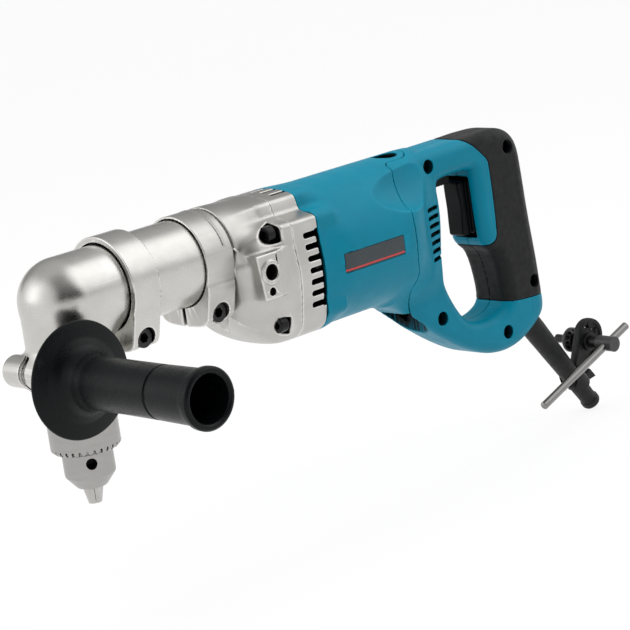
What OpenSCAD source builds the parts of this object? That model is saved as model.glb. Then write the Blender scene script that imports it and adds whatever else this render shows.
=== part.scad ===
// Right angle drill: D-handle, round motor, swivelling angle head, keyed chuck and side handle.
// Millimetres. Z is up, X runs to the rear, Y to the tool's right. The chuck nose is the origin.

/* [Angle head] */
// Height of the joint sleeve axis above the chuck nose
axis_h = 129; // [128:0.5:132]
// Radius of the vertical leg
leg_r = 26.5; // [26.2:0.1:26.9]
// Radius of the rounded corner
corner_r = 27.4; // [27.2:0.1:27.8]
// Distance of the side handle's axis in front of the spindle
boss_x = 23.8; // [23.4:0.1:25]
// Depth of the side handle's axis under the sleeve axis
boss_drop = 40.3; // [39:0.5:41]
// Radius of the side handle's boss
boss_r = 10; // [9.5:0.1:10.5]
// Radius of the side handle's thread
stud_r = 6; // [5.5:0.1:6]

/* [Joint sleeve] */
// Outer radius of the sleeve
sleeve_r = 28.15; // [27.8:0.05:28.5]
// Radius of both clamp collars
collar_r = 32; // [31.5:0.1:33]
// Front face of the first collar
collar1_x = 31.2; // [30.8:0.1:32]
// Width of the first collar
collar1_w = 21.3; // [20:0.1:23]
// Front face of the second collar
collar2_x = 91.9; // [90:0.1:93]
// Width of the second collar
collar2_w = 23; // [21:0.5:24]
// Width of the clamp slit
slit_w = 2.6; // [2:0.1:4]

/* [Motor] */
// Depth of the motor axis under the sleeve axis
motor_drop = 21; // [21:0.5:22]
// Outer radius of the motor housing
motor_r = 47.8; // [47.4:0.1:48.6]
// Wall of the motor housing
wall = 4; // [3:0.5:5]
// Seam between gear housing and bearing plate
seam_x = 155; // [155:0.5:156]
// Seam between bearing plate and motor housing
plate_x = 179; // [178:0.5:180]
// Seam between motor housing and handle
handle_x = 267; // [266:0.5:268]
// Brush axis
brush_x = 283; // [282:0.5:284]

/* [Gears] */
// Teeth of both spur pinions
pinion_n = 8; // [8:1:8]
// Teeth of both spur gears
gear_n = 42; // [42:1:42]
// Teeth of the bevel pinion
bevel_n = 14; // [14:1:14]

/* [Handle] */
// Half thickness of the grip
grip_half = 18.5; // [18:0.1:19.5]
// Edge rounding of the grip
grip_round = 8; // [7:0.5:9]
// Rubber thickness
rubber_t = 2.4; // [2:0.1:3]
// Rear face of the grip at its foot
grip_rear_x = 412; // [410:0.5:414]
// Travel of the trigger
trigger_travel = 7; // [6:0.5:7]

/* [Side handle] */
// Radius of the guard disc
guard_r = 36.3; // [34:0.1:38]
// Length from the boss to the open end
side_len = 122.5; // [118:0.5:128]
// Radius of the grip
side_r = 16.3; // [16:0.1:17]

/* [Chuck] */
// Radius of the chuck sleeve
chuck_r = 22; // [21.8:0.1:22.5]
// Radius of one jaw
jaw_r = 4.2; // [4:0.05:4.2]
// Lean of the jaws
jaw_lean = 14; // [14:0.5:14.5]

/* [Chuck key] */
// Length of the cross bar
bar_len = 104; // [95:1:110]
// Radius of the cross bar
bar_r = 2.9; // [2.7:0.1:3]

/* [Hidden] */
$fn = 64;
fit = 0.05;
tip = 1;
// Stretch of the leg and the chuck with the axis height
reach = axis_h / 129;
// Growth of the motor's inside and its gears with the motor housing
swell = motor_r / 47.8;
boss_z = -boss_drop;
boss_y0 = -35.7;
boss_y1 = 24;
thread_deep = 23;
far_deep = 11.5;
leg_end = -57 * reach;
bore_r = 20;
neck_r = 18;
spigot_r = sleeve_r - 3.2;
ear_y = 23;
ear_z = -33.5;
ear_low = -41;
collar1_mid = collar1_x + collar1_w / 2;
collar2_mid = collar2_x + collar2_w / 2;
sleeve_end = 108;
inner_r = motor_r - wall;
// Rear end of the iron cores, in front of the scoops
core_end = 240;
commutator_r = 15 * swell;
output_bearing_r = 17.5 * swell;
stator_bore = 26.5 * swell;
gear_m = swell;
first_m = 0.8 * swell;
shift = 0.53;
centre_2 = gear_m * (pinion_n + gear_n) / 2;
centre_1 = first_m * (pinion_n + gear_n) / 2;
counter_z = (centre_1 * centre_1 - centre_2 * centre_2 - motor_drop * motor_drop) / (2 * motor_drop);
counter_y = sqrt(centre_2 * centre_2 - counter_z * counter_z);
bevel_big = 2 * bevel_n;
bevel_m = 9 / 7;
case_y = 33 * swell;
case_z = 29.5 * swell;
jaw_low = -axis_h;
jaw_top = jaw_low + 33 * reach;
side_hole_x = 131;
side_hole_z = -12.6;
guard_foot = [404, -122];
guard_tip = [459.7, -197.5];
guard_len = norm(guard_tip - guard_foot);
guard_turn = atan2(guard_tip[0] - guard_foot[0], guard_foot[1] - guard_tip[1]);
key_x = 460;
key_z = -150.5;
bar_lean = 19.3;
bar_y = -22;
HANDLE_SCREWS = [[306, 15.5], [385, 12.5], [396, -87], [301, -90], [363, -116]];
// Side view of the handle, as x and height from the sleeve axis
OUTER = [
  [250, 26.8], [340, 27], [366, 26.6], [384, 25], [396, 20], [404, 10], [407, -6], [408, -40],
  [grip_rear_x - 1.5, -72], [grip_rear_x, -98], [grip_rear_x + 1, -110], [grip_rear_x - 2, -119],
  [399, -126], [377, -130], [356, -130], [338, -126.5], [318, -117], [297, -103], [277, -88],
  [262, -75], [250, -68]];
OPENING = [
  [313, 0], [316, 4], [349, 4.8], [350, 1], [351, -46], [355, -53], [363.5, -60], [368.5, -92],
  [364, -99.5], [350, -103.5], [335, -102], [325, -96], [317, -84], [309.5, -69], [307, -56],
  [309.5, -40], [312, -26], [312.5, -12]];
RUBBER = [
  [336, 40], [340, 28.5], [346, 24.7], [355, 17], [363, 9], [364.5, 4], [364.5, -43], [362, -49.5],
  [355, -52.5], [335, -51], [335, -86], [343, -88], [358, -93.7], [378, -96.7], [399, -98],
  [430, -99.5], [430, 40]];

// Placing helpers
module at_sleeve() translate([0, 0, axis_h]) children();

module at_motor() translate([0, 0, axis_h - motor_drop]) children();

module at_counter() translate([0, counter_y, axis_h + counter_z]) children();

module x_rod(r, x0, x1) translate([x0, 0, 0]) rotate([90, 0, 90]) cylinder(r = r, h = x1 - x0);

module y_rod(r, y0, y1) translate([0, y0, 0]) rotate([-90, 0, 0]) cylinder(r = r, h = y1 - y0);

module z_rod(r, z0, z1) translate([0, 0, z0]) cylinder(r = r, h = z1 - z0);

module x_ring(ro, ri, x0, x1) difference() {
  x_rod(ro, x0, x1);
  x_rod(ri, x0 - tip, x1 + tip);
}

module z_ring(ro, ri, z0, z1) difference() {
  z_rod(ro, z0, z1);
  z_rod(ri, z0 - tip, z1 + tip);
}

module box(x0, x1, y0, y1, z0, z1) translate([x0, y0, z0]) cube([x1 - x0, y1 - y0, z1 - z0]);

// Side view shapes lie in the X and Z plane and are centred on Y
module side_slab(half) translate([0, half, 0]) rotate([90, 0, 0]) linear_extrude(2 * half) children();

module on_case_screws() for (y = [-case_y, case_y], z = [-case_z, case_z]) translate([0, y, z]) children();

module both_brushes() for (a = [0, 180]) translate([brush_x, 0, 0]) rotate([a, 0, 0]) children();

// Involute spur tooth outlines
function inv(a) = tan(a) * 180 / PI - a;
function half_tooth(n, m, s, r) =
  let (rp = m * n / 2, rb = rp * cos(20), t = m * (PI / 2 + 2 * s * tan(20)) - 0.12 * m)
  t / (2 * rp) * 180 / PI + inv(20) - (r > rb ? inv(acos(rb / r)) : 0);
function tooth_radii(n, m, s) =
  let (rp = m * n / 2, rb = rp * cos(20), ra = rp + m * (0.8 + s), rf = rp - m * (1.25 - s))
  [rf, max(rf, rb) + 0.001, max(rf, rb) * 0.66 + ra * 0.34, max(rf, rb) * 0.33 + ra * 0.67, ra];
function gear_points(n, m, s) = [
  for (k = [0 : n - 1], side = [-1, 1], j = [0 : 4])
    let (rr = tooth_radii(n, m, s), r = rr[side < 0 ? j : 4 - j],
         a = 360 * k / n + side * half_tooth(n, m, s, r))
    r * [cos(a), sin(a)]];

module spur(n, m, s, x0, x1, turn) translate([x0, 0, 0]) rotate([90, 0, 90]) rotate([0, 0, turn])
  linear_extrude(x1 - x0) polygon(gear_points(n, m, s));

// Bevel teeth: outlines on the back cone, ruled towards the crossing of both axes
function bevel_half(n, d, h) =
  let (rv = bevel_m * n / (2 * cos(d)), rb = rv * cos(20), r = rv + h, t = bevel_m * PI / 2 - 0.2)
  (t / (2 * rv) * 180 / PI + inv(20) - (r > rb ? inv(acos(rb / r)) : 0)) / cos(d);
function bevel_point(n, d, h, a, k) =
  let (l = bevel_m * n / (2 * sin(d)), ax = l * cos(d) - h * sin(d), r = l * sin(d) + h * cos(d))
  k * [r * cos(a), r * sin(a), ax];
function bevel_ring(n, d, k) = [
  for (i = [0 : n - 1], side = [-1, 1], j = [0 : 3])
    let (hs = [-1.25, -0.45, 0.25, 0.8] * bevel_m, h = hs[side < 0 ? j : 3 - j],
         a = 360 * i / n + side * bevel_half(n, d, h))
    bevel_point(n, d, h, a, k)];
function bevel_angles(n, d) = [for (p = bevel_ring(n, d, 1)) atan2(p[1], p[0])];
function flat_ring(n, d, r, z) = [for (a = bevel_angles(n, d)) [r * cos(a), r * sin(a), z]];

module bevel_teeth(n, d, toe_r, toe_z, hub_r, hub_z) {
  c = 8 * n;
  rings = [flat_ring(n, d, toe_r, toe_z), bevel_ring(n, d, 0.68), bevel_ring(n, d, 1),
    flat_ring(n, d, hub_r, hub_z)];
  points = [for (r = rings, p = r) p];
  sides = [for (k = [0 : 2], i = [0 : c - 1], t = [0, 1])
    let (j = (i + 1) % c)
    t == 0 ? [k * c + i, (k + 1) * c + i, k * c + j] : [k * c + j, (k + 1) * c + i, (k + 1) * c + j]];
  low = [for (i = [0 : c - 1]) i];
  high = [for (i = [0 : c - 1]) 4 * c - 1 - i];
  polyhedron(points, concat(sides, [low, high]));
}

// Angle head
module head_casing() color("Silver") at_sleeve() difference() {
  union() {
    sphere(r = corner_r);
    z_rod(leg_r, leg_end, 0);
    x_rod(leg_r + 0.5, 0, collar1_x - 0.6);
    x_rod(spigot_r, 0, collar1_x + 20);
    translate([-boss_x, 0, boss_z]) handle_boss();
    box(-boss_x - 3, -12, -17, 17, boss_z - 7, boss_z + 7);
  }
  sphere(r = 22.5);
  z_rod(bore_r + fit, leg_end - tip, 0);
  x_rod(neck_r + fit, 0, collar1_x + 21);
  translate([-boss_x, 0, boss_z]) y_rod(stud_r + fit, boss_y0 - tip, boss_y0 + thread_deep);
  translate([-boss_x, 0, boss_z]) y_rod(stud_r + fit, boss_y1 - far_deep, boss_y1 + tip);
}

// Boss through the front of the head, with two grooves near its far end
module handle_boss() translate([0, boss_y0, 0]) rotate([-90, 0, 0]) rotate_extrude() polygon([
  [0, 0], [boss_r - 0.8, 0], [boss_r, 0.8], [boss_r, 40], [boss_r - 1.6, 40.4], [boss_r - 1.6, 43.2],
  [boss_r, 43.6], [boss_r, 44.1], [boss_r - 1.2, 44.4], [boss_r - 1.2, 46.2], [boss_r + 0.2, 46.6],
  [boss_r + 0.2, boss_y1 - boss_y0 - 5], [boss_r - 0.6, boss_y1 - boss_y0 - 2.6],
  [boss_r - 2.2, boss_y1 - boss_y0 - 0.8], [boss_r - 3.6, boss_y1 - boss_y0], [0, boss_y1 - boss_y0]]);

module input_bearing() color("LightSteelBlue") at_sleeve() x_ring(neck_r, 7 + fit, 26, 38);

module spindle_upper_bearing() color("LightSteelBlue") at_sleeve()
  z_ring(bore_r, 8.5 + fit, -31 * reach, -21 * reach);

module spindle_lower_bearing() color("LightSteelBlue") at_sleeve()
  z_ring(bore_r, 8.5 + fit, -52 * reach, -42 * reach);

module bearing_retainer() color("DimGray") at_sleeve() z_ring(bore_r, 11, leg_end + 0.5, -52.1 * reach);

// Drive in the head
module bevel_pinion() color("SlateGray") at_sleeve() union() {
  rotate([90, 0, 90]) rotate([0, 0, -90])
    bevel_teeth(bevel_n, atan(bevel_n / bevel_big), 4, 13.2, 7.5, 20.5);
  x_rod(7, 19.5, 72);
  x_rod(6, 71, 116);
}

module bevel_gear() color("SlateGray") at_sleeve() difference() {
  mirror([0, 0, 1]) rotate([0, 0, 180 / bevel_big])
    bevel_teeth(bevel_big, atan(bevel_big / bevel_n), 10.6, 8.4, 14, 14.5);
  z_rod(8.5 + 0.02, -20, 0);
}

module spindle() color("Gray") at_sleeve() difference() {
  union() {
    z_rod(8.5, -61.5 * reach, -8);
    z_rod(10.5, -61.5 * reach, leg_end - 0.5);
    z_rod(6.35, -76.5 * reach, -60 * reach);
  }
  z_rod(3 + fit, -80 * reach, -64 * reach);
}

// Keyed chuck, drawn closed
function tall(points) = [for (p = points) [p[0], p[1] * reach]];

module lean_rod(r, z0, z1) translate([-0.1, 0, jaw_low]) rotate([0, jaw_lean, 0])
  z_rod(r, (z0 - jaw_low) / cos(jaw_lean), (z1 - jaw_low) / cos(jaw_lean));

module on_jaws() for (a = [60, 180, 300]) rotate([0, 0, a]) children();

module chuck_body() color("Gainsboro") at_sleeve() difference() {
  rotate_extrude() polygon(tall([
    [0, -62], [14, -62], [15, -63], [15, -66], [19, -67], [19, -80], [17.9, -81], [17.9, -93.5],
    [16, -95], [16, -109.6], [15.2, -111], [9.5, -117.4], [8.4, -118.4], [0, -118.4]]));
  rotate_extrude() polygon(tall([[13.4, -90.4], [25, -90.4], [25, -83.6], [15.1, -83.6]]));
  z_rod(6.35 + 0.02, -76.7 * reach, -61 * reach);
  z_rod(3 + fit, -81 * reach, -70 * reach);
  z_rod(6.6, -120 * reach, -80 * reach);
  on_jaws() lean_rod(jaw_r + fit, jaw_low - 10, -68.5 * reach);
  for (a = [0, 120, 240]) rotate([0, 0, a]) translate([0, 0, -100.6 * reach]) rotate([0, 90, 0])
    z_rod(3.3, 9, 20);
}

module chuck_screw() color("DimGray") at_sleeve() difference() {
  union() {
    z_rod(3, -80.5 * reach, -66 * reach);
    z_rod(5, -84.5 * reach, -80.1 * reach);
  }
  translate([0, 0, -84.5 * reach - 1.5]) cylinder(r = 2.5, h = 4, $fn = 6);
}

module chuck_sleeve() color("Gainsboro") at_sleeve() difference() {
  rotate_extrude() polygon(tall([
    [19.4, -68.5], [chuck_r - 1, -68.5], [chuck_r, -69.5], [chuck_r, -92], [chuck_r - 2.2, -94.5],
    [18.35, -94.5], [18.35, -81.5], [19.4, -80.5]]));
  for (k = [0 : 29]) rotate([0, 0, 12 * k]) box(18, chuck_r + 2, -1.3, 1.3, -97 * reach, -91.6 * reach);
}

module chuck_nut() color("DimGray") at_sleeve() rotate_extrude() polygon(tall([
  [14.2, -90], [18.3, -90], [18.3, -84], [15.75, -84]]));

module jaw() intersection() {
  lean_rod(jaw_r, jaw_low - 5, jaw_top);
  translate([0, 0, jaw_low]) linear_extrude(60 * reach)
    polygon([[0.16, 0], [20, 34.3], [40, 0], [20, -34.3]]);
}

module jaw_1() color("DarkGray") at_sleeve() rotate([0, 0, 60]) jaw();

module jaw_2() color("DarkGray") at_sleeve() rotate([0, 0, 180]) jaw();

module jaw_3() color("DarkGray") at_sleeve() rotate([0, 0, 300]) jaw();

// Side handle, turned about its own axis and pointing to the tool's left
module on_boss() at_sleeve() translate([-boss_x, boss_y0, boss_z]) rotate([90, 0, 0]) children();

module side_grip() color([0.07, 0.07, 0.075]) on_boss() difference() {
  rotate_extrude() polygon([
    [0, 0.4], [13, 0.4], [15, 2], [24, 3], [33, 2.2], [guard_r - 0.8, 1.6], [guard_r, 2.6],
    [guard_r - 0.5, 3.9], [33, 5], [26, 6.6], [20.5, 9.5], [17.6, 14], [side_r, 22], [side_r - 0.2, 50],
    [side_r, 80.6], [side_r - 0.9, 81.2], [side_r - 0.9, 82.2], [side_r, 82.8], [side_r + 0.6, side_len - 10],
    [side_r + 1.4, side_len - 6.5], [side_r + 2.4, side_len - 4.5], [side_r + 2.4, side_len - 1.6],
    [side_r + 1.2, side_len - 0.2], [side_r - 0.6, side_len], [0, side_len]]);
  z_rod(stud_r + 0.02, -tip, 30);
  z_rod(side_r - 2.1, 48, side_len + tip);
}

module side_stud() color("DimGray") on_boss() z_rod(stud_r, 3 - thread_deep, 29.8);

// Joint sleeve and its clamps
module clamp_ears(x0, x1) difference() {
  union() {
    box(x0, x1, -ear_y, ear_y, ear_z, -18);
    box(x0, x1, 8 - ear_y, ear_y - 8, ear_low, ear_z + tip);
    for (y = [8 - ear_y, ear_y - 8]) translate([0, y, ear_low + 8]) x_rod(8, x0, x1);
  }
  x_rod(sleeve_r - 1, x0 - tip, x1 + tip);
}

module clamp_cuts(x0, x1) {
  mid = (x0 + x1) / 2;
  box(x0 - tip, x1 + 3, -slit_w / 2, slit_w / 2, ear_low - tip, -20);
  translate([mid, 0, ear_z]) y_rod(4 + fit, -ear_y - tip, ear_y + tip);
  translate([mid, 0, ear_z]) y_rod(6.8, -ear_y - 12, -13);
}

module joint_sleeve() color("Silver") at_sleeve() difference() {
  union() {
    x_rod(sleeve_r, collar1_x + 2, sleeve_end - 0.3);
    x_rod(collar_r, collar1_x, collar1_x + collar1_w);
    clamp_ears(collar1_x, collar1_x + collar1_w);
  }
  x_rod(spigot_r + fit, collar1_x - tip, collar1_x + 21.5);
  x_rod(22, collar1_x, sleeve_end + tip);
  clamp_cuts(collar1_x, collar1_x + collar1_w);
}

module clamp_bolt() difference() {
  union() {
    y_rod(4, -13.5, 20);
    y_rod(6.3, -20.5, -13.05);
  }
  translate([0, -22, 0]) rotate([-90, 0, 0]) cylinder(r = 3.4, h = 6, $fn = 6);
}

module clamp_bolts() color([0.1, 0.1, 0.1]) at_sleeve() {
  for (x = [collar1_mid, collar2_mid]) translate([x, 0, ear_z]) clamp_bolt();
}

// Gear housing: a shoulder in line with the sleeve, and a bowl round the motor axis
module housing_skin() {
  translate([112, 0, 0]) rotate([90, 0, 90])
    cylinder(r1 = 29.8, r2 = motor_r - motor_drop, h = seam_x - 112.1);
  translate([0, 0, -motor_drop]) rotate([90, 0, 90]) rotate_extrude() polygon([
    [0, 115], [14, 115.2], [22.5 * swell, 118], [28 * swell, 121], [32 * swell, 124.5], [38.8 * swell, 131],
    [43.8 * swell, 138.5], [46.8 * swell, 145], [motor_r, 150], [motor_r, seam_x - 0.1], [0, seam_x - 0.1]]);
}

module side_boss(y0, y1) translate([side_hole_x, 0, side_hole_z]) y_rod(10.5, y0, y1);

module gear_housing() color("Silver") at_sleeve() difference() {
  union() {
    x_rod(collar_r, collar2_x, collar2_x + collar2_w);
    clamp_ears(collar2_x, collar2_x + collar2_w);
    housing_skin();
    side_boss(-44.5 * swell, -24);
    side_boss(24, 44.5 * swell);
    translate([0, 0, -motor_drop]) on_case_screws() x_rod(7.2, 145, seam_x - 0.1);
  }
  x_rod(sleeve_r + fit, collar2_x - tip, sleeve_end);
  x_rod(10.6, sleeve_end - tip, 120);
  x_rod(output_bearing_r + 0.02, 112, 130);
  x_rod(22.8 * swell, 127.5, seam_x + tip);
  translate([0, 0, -motor_drop]) x_rod(31 * swell, 128.5, seam_x + tip);
  translate([0, 0, -motor_drop]) x_rod(39.5 * swell, 140.5, seam_x + tip);
  translate([0, counter_y, counter_z]) x_rod(6 + 0.02, 121, 130);
  translate([side_hole_x, 0, side_hole_z]) y_rod(5.1, -46 * swell, -33.5 * swell);
  translate([side_hole_x, 0, side_hole_z]) y_rod(5.1, 33.5 * swell, 46 * swell);
  translate([0, 0, -motor_drop]) on_case_screws() {
    x_rod(6.4, 110, 145);
    x_rod(2.6, 140, seam_x + tip);
  }
  clamp_cuts(collar2_x, collar2_x + collar2_w);
}

module output_bearing() color("LightSteelBlue") at_sleeve() x_ring(output_bearing_r, 10 + fit, 112.1, 121.9);

module bearing_clip() color("DimGray") at_sleeve()
  x_ring(output_bearing_r, output_bearing_r - 3.5, 122.1, 123.6);

module bearing_plate() color("Silver") at_motor() difference() {
  union() {
    x_rod(motor_r, seam_x, plate_x - 0.1);
    on_case_screws() x_rod(7.2, seam_x, plate_x - 0.1);
  }
  difference() {
    x_rod(inner_r, 161, plate_x + tip);
    x_rod(16.5, 160, 171.9);
  }
  x_rod(7, seam_x - tip, 162);
  x_rod(13 + 0.02, 161, plate_x + tip);
  translate([0, 0, motor_drop]) x_rod(6.5 + 0.02, seam_x - tip, 160);
  translate([0, counter_y, motor_drop + counter_z]) x_rod(6 + 0.02, seam_x - tip, 160);
  on_case_screws() x_rod(2.6, seam_x - tip, plate_x + tip);
  for (k = [-3 : 3]) box(167, plate_x + tip, -60, 60, 7.6 * k - 1.7, 7.6 * k + 1.7);
  for (y = [-7, 7]) box(167, plate_x + tip, y - 1.7, y + 1.7, 30, 60);
}

module case_screws() color([0.12, 0.12, 0.12]) at_motor() on_case_screws() difference() {
  union() {
    x_rod(4.6, 140, 144.95);
    x_rod(2.5, 144, 196);
  }
  translate([139, 0, 0]) rotate([90, 0, 90]) cylinder(r = 2.2, h = 4, $fn = 6);
}

module output_shaft() color("Gray") at_sleeve() difference() {
  union() {
    x_rod(10, 99, 128.6);
    x_rod(8, 128, 143);
    x_rod(4, 142, 159.8);
  }
  x_rod(6 + fit, 98, 118);
}

module output_gear() color("SlateGray") at_sleeve() difference() {
  spur(gear_n, gear_m, -shift, 129, 140, atan2(counter_z, counter_y) + 180 / gear_n);
  x_rod(8 + 0.02, 128, 141);
}

module output_bush() color("Peru") at_sleeve() x_ring(6.5, 4 + fit, 155.1, 159.9);

module counter_shaft() color("Gray") at_counter() union() {
  x_rod(3, 121.5, 129);
  spur(pinion_n, gear_m, shift, 128.6, 141, atan2(-counter_z, -counter_y));
  x_rod(4.6, 140.5, 153);
  x_rod(3, 152, 159.8);
}

module counter_gear() color("SlateGray") at_counter() difference() {
  spur(gear_n, first_m, -shift, 145, 152, atan2(-motor_drop - counter_z, -counter_y) + 180 / gear_n);
  x_rod(4.6 + 0.02, 144, 153);
}

module counter_bushes() color("Peru") at_counter() {
  x_ring(6, 3 + fit, 121.2, 127.4);
  x_ring(6, 3 + fit, 155.1, 159.9);
}

// Motor
module brush_tongue(r, ro, ri) intersection() {
  x_ring(ro, ri, handle_x - 2, brush_x + r + 2);
  union() {
    translate([brush_x, 0, 0]) z_rod(r, -60, 60);
    box(handle_x - 2, brush_x, -r, r, -60, 60);
  }
}

// Hollows beside the top of the handle, where the round motor narrows to the grip
module scoops(grow) for (y = [-1, 1]) translate([300, y * motor_r, 14]) rotate([0, 90, 0]) rotate_extrude()
  polygon([for (a = [0 : 15 : 180]) [(25.7 + grow) * sin(a), -(66 + grow) * cos(a)]]);

module scoop_backing() intersection() {
  translate([0, 0, motor_drop]) scoops(3.2);
  x_rod(motor_r, 225, handle_x - 0.1);
}

module motor_housing() color([0.0, 0.42, 0.53]) at_motor() difference() {
  union() {
    x_ring(motor_r, inner_r, plate_x, handle_x - 0.1);
    scoop_backing();
    brush_tongue(14, motor_r, inner_r);
    on_case_screws() x_rod(7.2, plate_x, 200);
  }
  x_rod(inner_r - 0.5, plate_x - tip, 189);
  x_rod(inner_r, 189, 225);
  translate([0, 0, motor_drop]) scoops(0);
  on_case_screws() x_rod(2.6, plate_x - tip, 197);
  translate([brush_x, 0, 0]) z_rod(9 + fit, -60, 60);
  difference() {
    box(192.9, 246.6, -60, 0, -8, 5);
    x_rod(motor_r - 0.8, 190, 250);
  }
}

module name_plate() color([0.2, 0.21, 0.23]) at_motor() intersection() {
  x_ring(motor_r + 0.2, motor_r - 0.75, 193, 246.5);
  box(193, 246.5, -60, 0, -7.9, 4.9);
}

module stator_core() color("DarkSlateGray") at_motor() x_ring(inner_r - fit, stator_bore, 202, core_end);

module field_coils() color("Chocolate") at_motor() {
  x_ring(39 * swell, stator_bore + 1, 191, 201.9);
  x_ring(35 * swell, stator_bore + 1, core_end + 0.1, core_end + 11);
}

module armature_shaft() color("Gray") at_motor() union() {
  spur(pinion_n, first_m, shift, 143.5, 154.6, atan2(motor_drop + counter_z, counter_y));
  x_rod(6, 154, 296);
  x_rod(5, 295, 305.5);
}

module armature_core() color("DarkSlateGray") at_motor() difference() {
  x_rod(stator_bore - 0.9, 202, core_end);
  x_rod(6.02, 201, core_end + tip);
  for (a = [0 : 30 : 330]) rotate([a, 0, 0])
    box(201, core_end + tip, -1.4, 1.4, stator_bore - 6.5, stator_bore + 4);
}

module armature_winding() color("Chocolate") at_motor() {
  x_ring(stator_bore - 4.5, 8, 188, 201.9);
  x_ring(stator_bore - 4.5, 8, core_end + 0.1, core_end + 21);
}

module commutator() color("Peru") at_motor() difference() {
  x_rod(commutator_r, 272, 293);
  x_rod(6.02, 270, 295);
  for (a = [0 : 15 : 345]) rotate([a, 0, 0])
    box(273, 294, -0.3, 0.3, commutator_r - 1.5, commutator_r + 2);
}

module fan() color([0.13, 0.13, 0.14]) at_motor() difference() {
  union() {
    x_rod(11, 172.5, 184);
    x_rod(39 * swell, 181.5, 184);
    for (a = [0 : 30 : 330]) rotate([a, 0, 0]) box(174, 182, -0.8, 0.8, 17, 38.5 * swell);
  }
  x_rod(6.02, 170, 190);
}

module front_motor_bearing() color("LightSteelBlue") at_motor() x_ring(13, 6 + fit, 161.2, 171.5);

module rear_motor_bearing() color("LightSteelBlue") at_motor() x_ring(13, 5 + fit, 296.6, 305);

module brush_holders() color("DarkKhaki") at_motor() both_brushes() difference() {
  z_rod(8.9, commutator_r + 2, motor_r - 6.8);
  box(-3.1, 3.1, -4.1, 4.1, commutator_r + 1, motor_r - 11.8 * swell);
  z_rod(3.2, motor_r - 17.8 * swell, motor_r - 5.8);
}

module carbon_brushes() color([0.16, 0.16, 0.17]) at_motor() both_brushes()
  box(-3, 3, -4, 4, commutator_r + 0.4, motor_r - 14.8 * swell);

module brush_springs() color("LightGray") at_motor() both_brushes()
  z_ring(3, 2, motor_r - 14.7 * swell, motor_r - 6.8);

module brush_caps() color([0.09, 0.09, 0.09]) at_motor() both_brushes() difference() {
  z_rod(9, motor_r - 6.7, motor_r - 2.6);
  box(-7, 7, -1, 1, motor_r - 4, 60);
}

// Handle halves, hollow, with a rubber cover over the grip
module ring_shape() difference() {
  polygon(OUTER);
  polygon(OPENING);
}

module handle_ring(inset) minkowski() {
  side_slab(grip_half - grip_round) offset(delta = inset - grip_round) ring_shape();
  sphere(r = grip_round, $fn = 20);
}

module handle_front(r, x1, half, top, low) hull() {
  translate([0, 0, -motor_drop]) x_rod(r, handle_x, handle_x + 4, $fn = 48);
  box(x1 - 4, x1, -half, half, low, top);
}

module motor_tail() intersection() {
  handle_front(motor_r, 309, grip_half - 2, 24, -66);
  translate([0, 0, -motor_drop]) x_rod(motor_r, handle_x, 320, $fn = 96);
}

module screw_posts(r, half) for (p = HANDLE_SCREWS) translate([p[0], 0, p[1]])
  y_rod(r, -half, half, $fn = 24);

module rubber_zone(gap) side_slab(60) offset(delta = gap) polygon(RUBBER);

module rubber_space(gap) difference() {
  rubber_zone(gap);
  handle_core(gap);
}

module handle_core(gap) minkowski() {
  side_slab(grip_half - rubber_t - gap - 5) offset(delta = -rubber_t - gap - 5) ring_shape();
  sphere(r = 5, $fn = 16);
}

module handle_hollow() difference() {
  union() {
    side_slab(grip_half - 6) offset(delta = -6) ring_shape();
    handle_front(inner_r, 305.5, grip_half - 6, 20, -60);
  }
  translate([0, 0, -motor_drop]) x_ring(30, 13.06, 296.5, 305.1, $fn = 48);
  scoops(3.2);
  screw_posts(6, 30);
}

module handle_shell() difference() {
  intersection() {
    union() {
      handle_ring(0);
      motor_tail();
    }
    box(handle_x, 430, -60, 60, -140, 40);
  }
  rubber_space(0);
  handle_hollow();
  scoops(0);
  translate([0, 0, -motor_drop]) difference() {
    x_rod(inner_r, handle_x - tip, handle_x + 3, $fn = 64);
    translate([0, 0, motor_drop]) scoops(3.2);
  }
  translate([0, 0, -motor_drop]) brush_tongue(14.3, 60, inner_r - 4);
  translate([brush_x, 0, -motor_drop]) z_rod(10, -120, -20, $fn = 32);
  trigger_space();
  translate([334, 0, 0]) z_rod(3.3, -10, 12, $fn = 24);
  screw_holes();
  guard_hole();
  for (k = [0 : 5], y = [-60, 14]) box(294, 309.5, y, y + 46, -49 + 7.2 * k, -45.6 + 7.2 * k);
}

module trigger_space() {
  box(340, 358, -10.2, 10.2, -45.5, -1.5);
  box(354, 390, -11, 11, -52, 2);
}

module screw_holes() for (p = HANDLE_SCREWS) translate([p[0], 0, p[1]]) {
  y_rod(4.3, -40, -8, $fn = 24);
  y_rod(2.3, -10, 13, $fn = 24);
}

module guard_hole() translate([guard_foot[0], 0, guard_foot[1]]) rotate([0, 180 - guard_turn, 0]) {
  z_rod(8.7, -12, 30, $fn = 32);
  z_rod(11.2, -12, -5.5, $fn = 32);
}

module left_side() intersection() {
  children();
  box(200, 440, -80, -0.05, -160, 60);
}

module right_side() intersection() {
  children();
  box(200, 440, 0.05, 80, -160, 60);
}

module one_mesh() resize([0, 0, 0]) children();

module handle_left() color([0.0, 0.42, 0.53]) at_sleeve() one_mesh() left_side() handle_shell();

module handle_right() color([0.0, 0.42, 0.53]) at_sleeve() one_mesh() right_side() handle_shell();

module grip_cover() difference() {
  intersection() {
    handle_ring(0);
    rubber_zone(-0.1);
  }
  handle_core(-0.1);
  screw_holes();
  trigger_space();
}

module grip_left() color([0.09, 0.09, 0.095]) at_sleeve() one_mesh() left_side() grip_cover();

module grip_right() color([0.09, 0.09, 0.095]) at_sleeve() one_mesh() right_side() grip_cover();

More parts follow.
